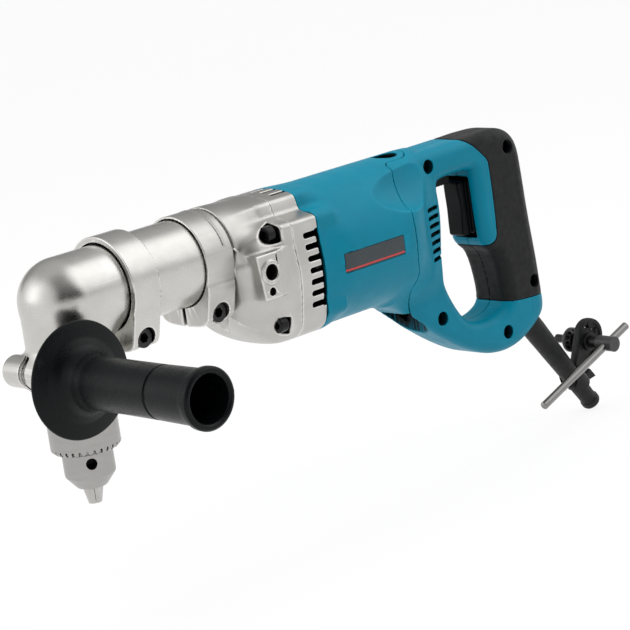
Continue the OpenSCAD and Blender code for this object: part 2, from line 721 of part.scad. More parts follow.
module handle_screws() color([0.12, 0.12, 0.12]) at_sleeve() {
  for (p = HANDLE_SCREWS) translate([p[0], 0, p[1]]) difference() {
    union() {
      y_rod(3.7, -11.5, -8.05);
      y_rod(2, -8.5, 12);
    }
    translate([-0.5, -12, -2.6]) cube([1, 2, 5.2]);
    translate([-2.6, -12, -0.5]) cube([5.2, 2, 1]);
  }
}

// Switch, trigger and reversing lever
module switch_body() color([0.12, 0.12, 0.12]) at_sleeve() difference() {
  box(363, 388, 6.1 - grip_half, grip_half - 6.1, -50, 0);
  translate([0, 0, -23]) x_rod(2.4, 362, 378);
}

module trigger() color([0.1, 0.1, 0.105]) at_sleeve() union() {
  difference() {
    translate([0, 0, -42.5]) linear_extrude(38.5) polygon([
      [343.4, -4], [345, -7.2], [347.2, -7.8], [348.8, -6], [351, -6], [352.5, -8.8], [355.5, -9.2],
      [355.5, 9.2], [352.5, 8.8], [351, 6], [348.8, 6], [347.2, 7.8], [345, 7.2], [343.4, 4]]);
    translate([322, 0, -24]) y_rod(22.4, -20, 20);
  }
  translate([0, 0, -23]) x_rod(2.1, 355, 369);
}

module reverse_lever() color([0.1, 0.1, 0.105]) at_sleeve() union() {
  box(322, 338, -5, 5, -3.6, 3.2);
  translate([334, 0, 0]) z_rod(3.2, 3, 11);
}

// Cord guard, chuck key and its rubber holder
module on_guard() at_sleeve() translate([guard_foot[0], 0, guard_foot[1]]) rotate([0, 180 - guard_turn, 0])
  children();

module cord_guard() color([0.1, 0.1, 0.1]) on_guard() rotate_extrude() polygon([
  [4, -11], [10.8, -11], [10.8, -6], [8.4, -6], [8.4, 8], [7.4, 45], [6.2, guard_len - 9],
  [6.3, guard_len - 6], [7, guard_len - 4.5], [7.1, guard_len - 2], [6.4, guard_len], [4, guard_len]]);

module cord_clamp() color([0.15, 0.15, 0.15]) at_sleeve() box(382, 394, 6.1 - grip_half, grip_half - 6.1,
  -108, -104);

module key_holder() color([0.11, 0.11, 0.11]) difference() {
  union() {
    on_guard() z_rod(9.4, 60, 74);
    at_sleeve() holder_plate();
  }
  on_guard() z_rod(7.4, 40, guard_len + 5);
}

module holder_plate() difference() {
  union() {
    translate([0, 2, 0]) rotate([90, 0, 0]) linear_extrude(4) hull() {
      translate([key_x + 4, key_z + 3]) circle(r = 13);
      translate([450, -166]) circle(r = 6);
    }
    translate([key_x, 0, key_z]) y_rod(6.6, -6, 6);
  }
  translate([key_x, 0, key_z]) y_rod(4 + fit, -20, 20);
  for (a = [35, 80, -15]) translate([key_x, 0, key_z]) rotate([0, -a, 0]) translate([11.5, 10, 0])
    rotate([90, 0, 0]) cylinder(r = 2.8, h = 20, $fn = 3);
}

module chuck_key() color("DarkGray") at_sleeve() translate([key_x, 0, key_z]) difference() {
  union() {
    y_rod(5.6, -29, -14);
    y_rod(4, -15, 10);
    translate([0, 9, 0]) rotate([-90, 0, 0]) rotate_extrude() polygon([
      [0, 0], [6, 0], [9.2, 3], [9.2, 5], [5.6, 9], [3.2, 9.4], [3.2, 18], [2.4, 19], [0, 19]]);
  }
  for (a = [0 : 30 : 330]) rotate([0, a, 0]) translate([8.2, 11, 0]) rotate([0, 0, 42])
    translate([-1, 0, 0]) cube([2.4, 14, 2], center = true);
  translate([0, bar_y, 0]) rotate([0, 90 - bar_lean, 0]) z_rod(bar_r + fit, -10, 10);
}

module key_bar() color("Gainsboro") at_sleeve() translate([key_x, bar_y, key_z])
  rotate([0, 90 - bar_lean, 0]) rotate_extrude() polygon([
    [0, 24 - bar_len], [bar_r - 0.5, 24 - bar_len], [bar_r, 24.5 - bar_len], [bar_r, 23.5], [bar_r - 0.5, 24],
    [0, 24]]);

head_casing();
input_bearing();
spindle_upper_bearing();
spindle_lower_bearing();
bearing_retainer();
bevel_pinion();
spindle();
bevel_gear();
chuck_body();
chuck_screw();
chuck_sleeve();
chuck_nut();
jaw_1();
jaw_2();
jaw_3();
side_grip();
side_stud();
joint_sleeve();
clamp_bolts();
gear_housing();
output_bearing();
bearing_clip();
bearing_plate();
case_screws();
output_shaft();
output_gear();
output_bush();
counter_shaft();
counter_gear();
counter_bushes();
motor_housing();
name_plate();
stator_core();
field_coils();
armature_shaft();
armature_core();
armature_winding();
commutator();
fan();
front_motor_bearing();
rear_motor_bearing();
brush_holders();
carbon_brushes();
brush_springs();
brush_caps();
handle_left();
handle_right();
grip_left();
grip_right();
handle_screws();
switch_body();
trigger();
reverse_lever();
cord_guard();
cord_clamp();
key_holder();
chuck_key();
key_bar();
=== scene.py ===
"""Looks of the right angle drill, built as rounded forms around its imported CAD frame."""

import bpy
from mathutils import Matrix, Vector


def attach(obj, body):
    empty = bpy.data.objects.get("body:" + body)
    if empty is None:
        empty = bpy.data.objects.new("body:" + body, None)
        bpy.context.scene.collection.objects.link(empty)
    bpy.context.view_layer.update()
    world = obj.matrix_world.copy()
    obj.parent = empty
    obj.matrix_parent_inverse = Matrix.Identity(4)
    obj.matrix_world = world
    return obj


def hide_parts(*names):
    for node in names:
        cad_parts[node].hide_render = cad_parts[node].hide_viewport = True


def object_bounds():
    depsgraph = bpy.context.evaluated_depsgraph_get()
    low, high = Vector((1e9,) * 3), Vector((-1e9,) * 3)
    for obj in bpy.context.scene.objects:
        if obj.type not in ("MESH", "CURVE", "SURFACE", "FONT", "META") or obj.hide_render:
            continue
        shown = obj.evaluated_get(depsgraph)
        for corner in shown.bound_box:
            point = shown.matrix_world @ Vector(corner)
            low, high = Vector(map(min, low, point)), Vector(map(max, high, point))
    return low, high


bl_info = {
    "name": "Right angle drill looks",
    "version": (1, 0, 0),
    "blender": (4, 5, 0),
    "location": "3D View > Sidebar > Drill",
    "description": "Cast, moulded and turned surfaces of a right angle drill, and its stage",
    "category": "Object",
}

import math

import bpy
import numpy as np
from bpy.props import FloatProperty, FloatVectorProperty, IntProperty, PointerProperty
from mathutils import Matrix, Vector

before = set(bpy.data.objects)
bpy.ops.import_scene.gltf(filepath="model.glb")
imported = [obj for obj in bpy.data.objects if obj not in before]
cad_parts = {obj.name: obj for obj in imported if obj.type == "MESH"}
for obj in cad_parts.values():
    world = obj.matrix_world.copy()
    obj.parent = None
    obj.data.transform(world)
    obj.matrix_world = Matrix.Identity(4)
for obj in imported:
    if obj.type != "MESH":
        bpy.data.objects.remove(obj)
CAD_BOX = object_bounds()

MM = 0.001
# All forms are written in millimetres from the crossing of the spindle and the sleeve axis,
# which lies this far above the frame's origin
AXIS_H = 129.0
MOTOR_DROP = 21.0
MOTOR_R = 47.8
SEAM_X, PLATE_X = 157.0, 179.0
COLLARS = ((31.2, 52.5, 32.0), (91.9, 114.9, 30.4))
BOSS_X, BOSS_Z, BOSS_ENDS = -23.8, -40.3, (-35.7, 27.8)
BOLT_Z, SIDE_HOLE, BRUSH_X, CHUCK_RIM = -33.5, (131.0, -12.6), 283.0, -94.5
CASE_Y, CASE_Z = 33.0, 29.5
GRIP_HALF, GRIP_ROUND, RUBBER = 18.5, 8.0, 2.4
SCOOP_LONG, SCOOP_R = 83.3, 32.0
NAME_X, NAME_Z = (195.2, 248.8), (-29.6, -16.8)
HANDLE_SCREWS = ((306, 15.5), (385, 12.5), (396, -87), (301, -90), (363, -116))
GUARD_FOOT, GUARD_TIP = (404.0, -122.0), (459.7, -197.5)
GUARD_LONG = math.dist(GUARD_FOOT, GUARD_TIP)
GUARD_WAY = [(b - a) / GUARD_LONG for a, b in zip(GUARD_FOOT, GUARD_TIP)]
KEY = (460.0, -150.5)
CHUCK_LINE = (
    (0, -62), (14, -62), (15, -63), (15, -66), (19, -67), (19, -80), (17.9, -81), (17.9, -93.5), (16, -95),
    (16, -108.9), (15.8, -110.2), (15.2, -111), (10.2, -117.2), (9.4, -118), (8.2, -118.4), (-8, -118.4), (-8, -62))
OUTER = (
    (250, 25.4), (340, 26), (366, 26.8), (382, 26.8), (395, 22.6), (402, 12), (403.5, -6), (405, -40), (408, -72),
    (409, -96), (409.5, -106), (406.5, -114.5), (396.5, -122), (377, -129.5), (356, -130), (338, -125.5), (318, -115),
    (297, -100.5), (277, -85), (262, -72), (250, -66))
OPENING = (
    (314.5, 0), (317, 4), (349, 4.8), (350, 1), (351, -46), (355, -53), (363.5, -60), (368.5, -92), (364, -99.5),
    (350, -103.5), (335, -102), (325, -96), (317, -84), (310.3, -69), (308.8, -56), (312, -40), (315, -26),
    (315.5, -12))
RUBBER_ZONE = (
    (336, 40), (340, 28.5), (346, 24.7), (355, 17), (363, 9), (364.5, 4), (364.5, -43), (362, -49.5),
    (355, -52.5), (335, -51), (335, -86), (343, -88), (358, -93.7), (378, -96.7), (399, -98), (430, -99.5),
    (430, 40))
BOWL = (
    (115, -20), (115, 0), (115.2, 14), (118, 22.5), (121, 28), (124.5, 32), (131, 38.8), (138.5, 43.8),
    (145, 46.8), (150, 47.8), (164, 47.8), (164, -20))
# Heights of the stripe on the name plate, in metres
STRIPE_Z = (0.1005, 0.1016)
# Soft panels round the stage: azimuth, height, inner and outer angle, amount added to the plain sky
SKY_PANELS = (
    (0, 90, 20, 78, 0.3), (-32, 38, 16, 42, 1.2), (175, 8, 25, 60, 0.9), (134, 12, 12, 44, 0.7),
    (-122, 24, 40, 66, -0.3))
PLAIN_SKY = 0.32
# Floor, in metres: half width, height of the low wall round it, and room under the drill
FLOOR_HALF, WALL_HEIGHT, FLOOR_ROOM = 9.0, 1.2, 0.0005
# Share of plain white in the floor, as the camera and reflections see it
FLOOR_WHITE = 0.88
# Directions of the camera's back and top
CAMERA_BACK, CAMERA_TOP = (-0.6445, -0.7311, 0.2238), (0.2544, 0.0711, 0.9645)
# Half section of the bearing plate: crowned top, screw lobes, flat sides
SECTION = (
    (-14, 49.2), (0, 50.2), (7.2, 49.7), (13.8, 48.9), (19.2, 47.6), (22, 46.2), (23.2, 42.5), (24.2, 38.2),
    (26.5, 36.6), (32.9, 35.4), (37.8, 34.4), (40, 32.6), (40.2, 28.5), (40.1, 23.2), (41.6, 10.7), (42.8, 0.8),
    (41.6, -12.6), (39.6, -22.8), (37.6, -33), (34, -39.6), (26, -44), (14, -46.2), (0, -46.8), (-14, -46.2))
# Seam between motor housing and handle, as height and x
SEAM_HEIGHTS = (-90, -80, -70, -58, -47, -37, -25, -14, -6, 0, 8, 20, 30)
SEAM_XS = (273, 272, 270, 267.5, 266, 262, 260.8, 260.8, 261.5, 264, 266, 268, 268)


class DrillFinishes(bpy.types.PropertyGroup):
    """Colours and finishes of the drill"""

    teal: FloatVectorProperty(
        name="Housing", description="Moulded plastic of motor housing and handle", subtype="COLOR",
        default=(0.0, 0.19, 0.286), min=0, max=1)
    casting: FloatVectorProperty(
        name="Casting", description="Satin cast aluminium of head, sleeve and gear housing", subtype="COLOR",
        default=(0.58, 0.572, 0.545), min=0, max=1)
    steel: FloatVectorProperty(
        name="Bright steel", description="Turned steel of chuck and key bar", subtype="COLOR",
        default=(0.62, 0.61, 0.59), min=0, max=1)
    rubber: FloatVectorProperty(
        name="Rubber", description="Grip cover, cord guard and key holder", subtype="COLOR",
        default=(0.0055, 0.006, 0.006), min=0, max=1)
    black: FloatVectorProperty(
        name="Black plastic", description="Side handle, trigger and lever", subtype="COLOR",
        default=(0.002, 0.003, 0.0034), min=0, max=1)
    stripe: FloatVectorProperty(
        name="Plate stripe", description="Line across the blank name plate", subtype="COLOR",
        default=(0.55, 0.02, 0.02), min=0, max=1)


class DrillSizes(bpy.types.PropertyGroup):
    """Fineness and edge sizes of the modelled forms"""

    step: FloatProperty(
        name="Form step", description="Grid spacing of the large moulded and cast forms", unit="LENGTH",
        default=0.00085, min=0.0005, max=0.002)
    fine_step: FloatProperty(
        name="Fine step", description="Grid spacing of small forms", unit="LENGTH",
        default=0.0005, min=0.0003, max=0.001)
    keep: FloatProperty(
        name="Kept faces", description="Share of the grid's faces that stays on a form", subtype="FACTOR",
        default=0.3, min=0.05, max=1)
    seam_gap: FloatProperty(
        name="Seam gap", description="Open line between two mouldings", unit="LENGTH",
        default=0.00045, min=0.0001, max=0.001)
    turns: IntProperty(
        name="Turned sides", description="Sides of the turned forms", default=96, min=24, max=192)


class DrillStage(bpy.types.PropertyGroup):
    """Camera, floor and light"""

    eye: FloatVectorProperty(
        name="Camera", description="Place of the camera", subtype="TRANSLATION", unit="LENGTH",
        default=(-0.8921, -1.2404, 0.4463))
    lens: FloatProperty(
        name="Lens", description="Focal length on a 36 mm wide picture, in millimetres", default=145.99, min=20)
    floor: FloatVectorProperty(
        name="Floor", description="Colour of the floor", subtype="COLOR", default=(0.9, 0.9, 0.9), min=0, max=1)
    key_power: FloatProperty(
        name="Key light", description="Power of the large light at the upper left", unit="POWER", default=9.0)
    fill_power: FloatProperty(
        name="Fill light", description="Power of the light on the right", unit="POWER", default=2.0)
    top_power: FloatProperty(
        name="Top light", description="Power of the light above", unit="POWER", default=7.0)
    world: FloatProperty(
        name="Surroundings", description="Strength of the soft light all round", default=1.0, min=0)


# Forms: each field is negative inside, in millimetres
def smooth_min(a, b, k):
    h = np.maximum(k - np.abs(a - b), 0.0) / k
    return np.minimum(a, b) - h * h * k * 0.25


def smooth_max(a, b, k):
    return -smooth_min(-a, -b, k)


def both(a, b, r):
    """What a and b share, with a round edge."""
    p, q = a + r, b + r
    return np.minimum(np.maximum(p, q), 0.0) + np.hypot(np.maximum(p, 0.0), np.maximum(q, 0.0)) - r


def join(a, b, r):
    """a and b together, with a round fillet."""
    return -both(-a, -b, r)


def cut(a, b, r):
    """a without b, with a round edge."""
    return both(a, -b, r)


def span(w, w0, w1):
    return np.abs(w - (w0 + w1) / 2) - (w1 - w0) / 2


def rod(u, v, w, radius, w0, w1, edge=0.4):
    """Round bar along w."""
    return both(np.hypot(u, v) - radius, span(w, w0, w1), edge)


def block(x, y, z, xs, ys, zs, edge):
    qs = [span(w, *limits) + edge for w, limits in ((x, xs), (y, ys), (z, zs))]
    outside = np.sqrt(sum(np.maximum(q, 0.0) ** 2 for q in qs))
    return outside + np.minimum(np.maximum(np.maximum(qs[0], qs[1]), qs[2]), 0.0) - edge


def capsule(x, y, z, a, b, ra, rb):
    """Bar with round ends from a to b, tapering."""
    ab = np.subtract(b, a)
    px, py, pz = x - a[0], y - a[1], z - a[2]
    t = np.clip((px * ab[0] + py * ab[1] + pz * ab[2]) / ab.dot(ab), 0, 1)
    return np.sqrt((px - ab[0] * t) ** 2 + (py - ab[1] * t) ** 2 + (pz - ab[2] * t) ** 2) - ra - (rb - ra) * t


def rounded(points, times):
    """Cut the corners of a closed outline, several times."""
    for _ in range(times):
        points = [
            (p[0] * k + q[0] * (1 - k), p[1] * k + q[1] * (1 - k))
            for p, q in zip(points, list(points[1:]) + [points[0]]) for k in (0.75, 0.25)]
    return points


def outline(points, u, v):
    """Distance to a closed outline, negative inside."""
    shape = np.broadcast(u, v).shape
    best, inside = np.full(shape, 1e9), np.zeros(shape, bool)
    for (ax, ay), (bx, by) in zip(points, list(points[1:]) + [points[0]]):
        ex, ey, wx, wy = bx - ax, by - ay, u - ax, v - ay
        t = np.clip((wx * ex + wy * ey) / (ex * ex + ey * ey), 0, 1)
        best = np.minimum(best, (wx - ex * t) ** 2 + (wy - ey * t) ** 2)
        if ay != by:
            inside ^= ((ay > v) != (by > v)) & (u < ex * (v - ay) / ey + ax)
    return np.where(inside, -1, 1) * np.sqrt(best)


def eased(x, start, length):
    """0 up to the start, 1 after the length, and smooth between."""
    share = np.clip((x - start) / length, 0.0, 1.0)
    return share * share * (3 - 2 * share)


def hex_bar(u, v, half):
    """Distance to a hexagon that is 2 half wide across its flats."""
    u, v = np.abs(u), np.abs(v)
    return np.maximum(u * 0.8660254 + v * 0.5, v) - half


EAR_LINE = rounded(
    ((-29.5, -12), (-24.2, -31), (-22, -38), (-14, -41.3), (14, -41.3), (22, -38), (24.2, -31), (29.5, -12), (20, 0),
     (-20, 0)), 2)
OUTER_LINE, OPENING_LINE = rounded(OUTER, 2), rounded(OPENING, 2)
RUBBER_LINE, BOWL_LINE, SECTION_LINE = rounded(RUBBER_ZONE, 2), rounded(BOWL, 1), rounded(SECTION, 2)


SAMPLES = ((1, -1, -1), (-1, -1, 1), (-1, 1, -1), (1, 1, 1))


def slope(field, p, h=0.02):
    """Value and gradient of a field at points, from four samples round each."""
    values = [field(p[:, 0] + h * a, p[:, 1] + h * b, p[:, 2] + h * c) for a, b, c in SAMPLES]
    gradient = sum(v[:, None] * np.array(e, float) for v, e in zip(values, SAMPLES)) / (4 * h)
    return sum(values) / 4, gradient


def settle(field, p, times, reach):
    """Bring points onto the surface of a field."""
    for _ in range(times):
        d, g = slope(field, p)
        move = -d[:, None] * g / np.maximum((g * g).sum(1), 0.05)[:, None]
        length = np.linalg.norm(move, axis=1)
        p = p + move * np.minimum(1, reach / np.maximum(length, 1e-9))[:, None]
    return p


def surface_net(field, low, high, step):
    """Points and four sided faces on the surface of a field inside a box."""
    axes = [np.arange(a - 1.5 * step, b + 2.5 * step, step) for a, b in zip(low, high)]
    n = [len(a) - 1 for a in axes]
    d = np.ascontiguousarray(np.broadcast_to(field(*np.ix_(*axes)), [len(a) for a in axes]))
    inside = d < 0
    corners = [(i, j, k) for i in (0, 1) for j in (0, 1) for k in (0, 1)]
    count = sum(inside[i:n[0] + i, j:n[1] + j, k:n[2] + k].astype(np.uint8) for i, j, k in corners)
    mixed = (count > 0) & (count < 8)
    ids = np.argwhere(mixed)
    number = np.full(n, -1, np.int64)
    number[mixed] = np.arange(len(ids))
    value = {c: d[ids[:, 0] + c[0], ids[:, 1] + c[1], ids[:, 2] + c[2]] for c in corners}
    total, hits = np.zeros((len(ids), 3)), np.zeros(len(ids))
    for a in corners:
        for axis in range(3):
            if a[axis] == 0:
                b = tuple(1 if i == axis else a[i] for i in range(3))
                crossed = (value[a] < 0) != (value[b] < 0)
                va, vb = value[a][crossed], value[b][crossed]
                point = np.tile(np.array(a, float), (len(va), 1))
                point[:, axis] = va / (va - vb)
                total[crossed] += point
                hits[crossed] += 1
    origin = np.array([a[0] for a in axes])
    points = settle(field, origin + step * (ids + total / hits[:, None]), 2, 0.6 * step)
    faces = []
    for axis in range(3):
        b, c = (axis + 1) % 3, (axis + 2) % 3
        ahead = np.roll(inside, -1, axis)
        edges = np.argwhere(inside != ahead)
        edges = edges[(edges[:, axis] < n[axis]) & (edges[:, b] > 0) & (edges[:, c] > 0)]
        eb, ec = np.eye(3, dtype=int)[b], np.eye(3, dtype=int)[c]
        ring = [number[tuple((edges - s).T)] for s in (eb + ec, ec, 0 * eb, eb)]
        quad = np.stack(ring, 1)
        back = ~inside[tuple(edges.T)]
        quad[back] = quad[back][:, ::-1]
        faces.append(quad)
    return points, np.concatenate(faces)


def row_place(points):
    """From millimetres at the sleeve axis to metres in the frame."""
    return (np.asarray(points, float) + (0, 0, AXIS_H)) * MM


def piece(name, mesh, body, slot, finish, *nodes):
    """A mesh as a named piece on its body, standing for the nodes."""
    obj = bpy.data.objects.new(name, mesh)
    bpy.context.scene.collection.objects.link(obj)
    mesh.materials.clear()
    mesh.materials.append(finish)
    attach(obj, body)
    if nodes:
        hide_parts(*nodes)
    return obj


def bend(field, p, reach=0.6):
    """How sharply the surface turns outwards at each point, per millimetre."""
    total = -6 * field(p[:, 0], p[:, 1], p[:, 2])
    for axis in range(3):
        for way in (-reach, reach):
            q = p.copy()
            q[:, axis] += way
            total = total + field(q[:, 0], q[:, 1], q[:, 2])
    return total / reach ** 2


def formed(name, field, low, high, step, keep, skin=None, depth=(0.6, 2.5)):
    """Mesh of a field: netted, thinned, shaded by the field, and marked at its edges and, for painted shade, where it
    lies under a skin.
    """
    points, quads = surface_net(field, low, high, step)
    mesh = bpy.data.meshes.new(name)
    mesh.from_pydata(points.tolist(), [], quads.tolist())
    holder = bpy.data.objects.new(name + "_net", mesh)
    bpy.context.scene.collection.objects.link(holder)
    thin = holder.modifiers.new("thin", "DECIMATE")
    thin.ratio = keep
    graph = bpy.context.evaluated_depsgraph_get()
    thinned = bpy.data.meshes.new_from_object(holder.evaluated_get(graph))
    bpy.data.objects.remove(holder)
    bpy.data.meshes.remove(mesh)
    thinned.name = name
    co = np.empty(len(thinned.vertices) * 3)
    thinned.vertices.foreach_get("co", co)
    p = settle(field, co.reshape(-1, 3), 1, 0.3 * step)
    g = slope(field, p)[1]
    normals = g / np.maximum(np.linalg.norm(g, axis=1), 1e-6)[:, None]
    thinned.vertices.foreach_set("co", row_place(p).ravel())
    thinned.update()
    thinned.shade_smooth()
    thinned.normals_split_custom_set_from_vertices(normals.tolist())
    marks = {"edge": np.clip((bend(field, p) - 0.3) / 0.9, 0, 1)}
    # Painted shade: the recess mark grows with depth under the skin, and the finishes use it to darken hollows, grooves
    # and pockets.
    if skin:
        marks["recess"] = np.clip((-skin(p[:, 0], p[:, 1], p[:, 2]) - depth[0]) / depth[1], 0, 1)
    for key, values in marks.items():
        thinned.attributes.new(key, "FLOAT", "POINT").data.foreach_set("value", values.astype(np.float32))
    return thinned


def filleted(profile):
    """Points and normals along a turned profile of (radius, height, fillet), solid on its left side."""
    out = []
    for i, (r, h, f) in enumerate(profile):
        here = Vector((r, h))
        before = (here - Vector(profile[i - 1][:2])) if i else None
        after = (Vector(profile[i + 1][:2]) - here) if i + 1 < len(profile) else None
        a = before.normalized() if before else after.normalized()
        b = after.normalized() if after else a
        na, nb = Vector((a.y, -a.x)), Vector((b.y, -b.x))
        turn = a.angle_signed(b, 0)
        if not before or not after or f <= 0 or abs(turn) < 0.02:
            if before and after and abs(turn) > 0.6:
                out += [(here, na), (here, nb)]
            else:
                out.append((here, (na + nb).normalized()))
            continue
        reach = min(f * math.tan(abs(turn) / 2), before.length * 0.49, after.length * 0.49)
        radius = reach / math.tan(abs(turn) / 2)
        start = here - a * reach
        bulge = 1 if a.x * b.y - a.y * b.x > 0 else -1
        centre = start - na * radius * bulge
        steps = max(2, int(abs(turn) / 0.3) + 1)
        for k in range(steps + 1):
            n = (na * (1 - k / steps) + nb * (k / steps)).normalized()
            out.append((centre + n * radius * bulge, n))
    return out


def bands(rows, sides):
    """Four sided faces between neighbouring rings of points."""
    return [(i * sides + k, i * sides + m, (i + 1) * sides + m, (i + 1) * sides + k)
            for i in rows for k, m in ((k, (k + 1) % sides) for k in range(sides))]


def turned(name, profile, centre, axis, sides, change=None):
    """Mesh turned about an axis from a closed or open profile; change(radius, height, angle) reshapes it."""
    line = filleted(profile)
    axis = Vector(axis).normalized()
    across = axis.orthogonal().normalized()
    if abs(axis.y) > 0.9:
        across = Vector((1, 0, 0))
    third = axis.cross(across)
    points, normals = [], []
    for p, n in line:
        for k in range(sides):
            a = 2 * math.pi * k / sides
            r, h = (p.x, p.y) if change is None else change(p.x, p.y, a)
            out = across * math.cos(a) + third * math.sin(a)
            points.append(Vector(centre) + out * r + axis * h)
            normals.append(out * n.x + axis * n.y)
    rows = [i for i in range(len(line) - 1) if (line[i][0] - line[i + 1][0]).length >= 1e-9]
    mesh = bpy.data.meshes.new(name)
    mesh.from_pydata([row_place(p) for p in points], [], bands(rows, sides))
    mesh.validate()
    mesh.update()
    mesh.shade_smooth()
    mesh.normals_split_custom_set_from_vertices([tuple(n) for n in normals])
    return mesh


# Finishes
class Nodes:
    """A node tree with helpers for its nodes."""

    def __init__(self, tree):
        self.tree = tree

    def add(self, kind, **values):
        node = self.tree.nodes.new(kind)
        for key, value in values.items():
            setattr(node, key, value)
        return node

    def first(self, kind):
        return next(n for n in self.tree.nodes if n.type == kind)

    def link(self, source, target):
        self.tree.links.new(source, target)

    def between(self, source, low, high, start=0.3, end=0.7, curve="LINEAR"):
        node = self.add("ShaderNodeMapRange", interpolation_type=curve)
        for key, value in (("From Min", start), ("From Max", end), ("To Min", low), ("To Max", high)):
            node.inputs[key].default_value = value
        self.link(source, node.inputs["Value"])
        return node.outputs["Result"]


class Finish(Nodes):
    """One procedural material."""

    def __init__(self, name):
        self.name = name
        self.material = bpy.data.materials.new("look_" + name)
        self.material.use_nodes = True
        super().__init__(self.material.node_tree)
        self.shader = self.first("BSDF_PRINCIPLED")
        self.place = self.add("ShaderNodeTexCoord").outputs["Object"]

    def set(self, **values):
        for key, value in values.items():
            self.shader.inputs[key.replace("_", " ")].default_value = value

    def noise(self, scale, detail=3.0, rough=0.5, stretch=None):
        node = self.add("ShaderNodeTexNoise")
        node.inputs["Scale"].default_value = scale
        node.inputs["Detail"].default_value = detail
        node.inputs["Roughness"].default_value = rough
        source = self.place
        if stretch:
            mapping = self.add("ShaderNodeMapping")
            mapping.inputs["Scale"].default_value = stretch
            self.link(source, mapping.inputs["Vector"])
            source = mapping.outputs["Vector"]
        self.link(source, node.inputs["Vector"])
        return node.outputs["Fac"]

    def ramp(self, source, stops):
        node = self.add("ShaderNodeValToRGB")
        elements = node.color_ramp.elements
        while len(elements) < len(stops):
            elements.new(0.5)
        for element, (at, colour) in zip(elements, stops):
            element.position = at
            element.color = (*colour, 1)
        self.link(source, node.inputs["Fac"])
        return node.outputs["Color"]

    def mixed(self, share, a, b):
        node = self.add("ShaderNodeMix", data_type="RGBA")
        self.link(share, node.inputs["Factor"])
        for socket, value in ((node.inputs[6], a), (node.inputs[7], b)):
            if isinstance(value, bpy.types.NodeSocket):
                self.link(value, socket)
            else:
                socket.default_value = (*value, 1)
        return node.outputs[2]

    def edges(self):
        geometry = self.add("ShaderNodeNewGeometry")
        return self.between(geometry.outputs["Pointiness"], 0.0, 1.0, 0.53, 0.6)

    def bump(self, source, strength, distance):
        node = self.add("ShaderNodeBump")
        node.inputs["Strength"].default_value = strength
        node.inputs["Distance"].default_value = distance
        self.link(source, node.inputs["Height"])
        self.link(node.outputs["Normal"], self.shader.inputs["Normal"])


def tint(colour, share):
    return tuple(min(1.0, c * share) for c in colour)


def grainy(name, colour, metallic, rough, grain, depth, mottle=0.12, stretch=None, worn=None, patch=60.0, gloss=0.5,
           cast=False, lathe=0.0):
    """A finish with uneven colour and gloss, fine grain, lighter worn edges where asked, and painted shade that darkens
    it where a form marks a recess.
    """
    f = Finish(name)
    f.set(Metallic=metallic, Anisotropic=lathe, Specular_IOR_Level=gloss)
    spots = f.noise(patch, 4.0, 0.55, stretch)
    base = f.ramp(spots, ((0.3, tint(colour, 1 - mottle)), (0.7, tint(colour, 1 + mottle))))
    if worn:
        rubbed = f.add("ShaderNodeAttribute", attribute_name="edge").outputs["Fac"] if cast else f.edges()
        base = f.mixed(rubbed, base, worn)
    # Painted shade: the recess mark blends the colour to nearly black in hollows, grooves and pockets.
    painted_recess_shade = f.add("ShaderNodeAttribute", attribute_name="recess")
    base = f.mixed(painted_recess_shade.outputs["Fac"], base, tint(colour, 0.015))
    f.link(base, f.shader.inputs["Base Color"])
    f.link(f.between(f.noise(patch * 2.7, 3.0, 0.5, stretch), rough * 0.86, rough * 1.16),
           f.shader.inputs["Roughness"])
    f.bump(f.noise(grain, 2.0, 0.6, stretch), depth, 0.0004)
    return f


FINISHES = {}


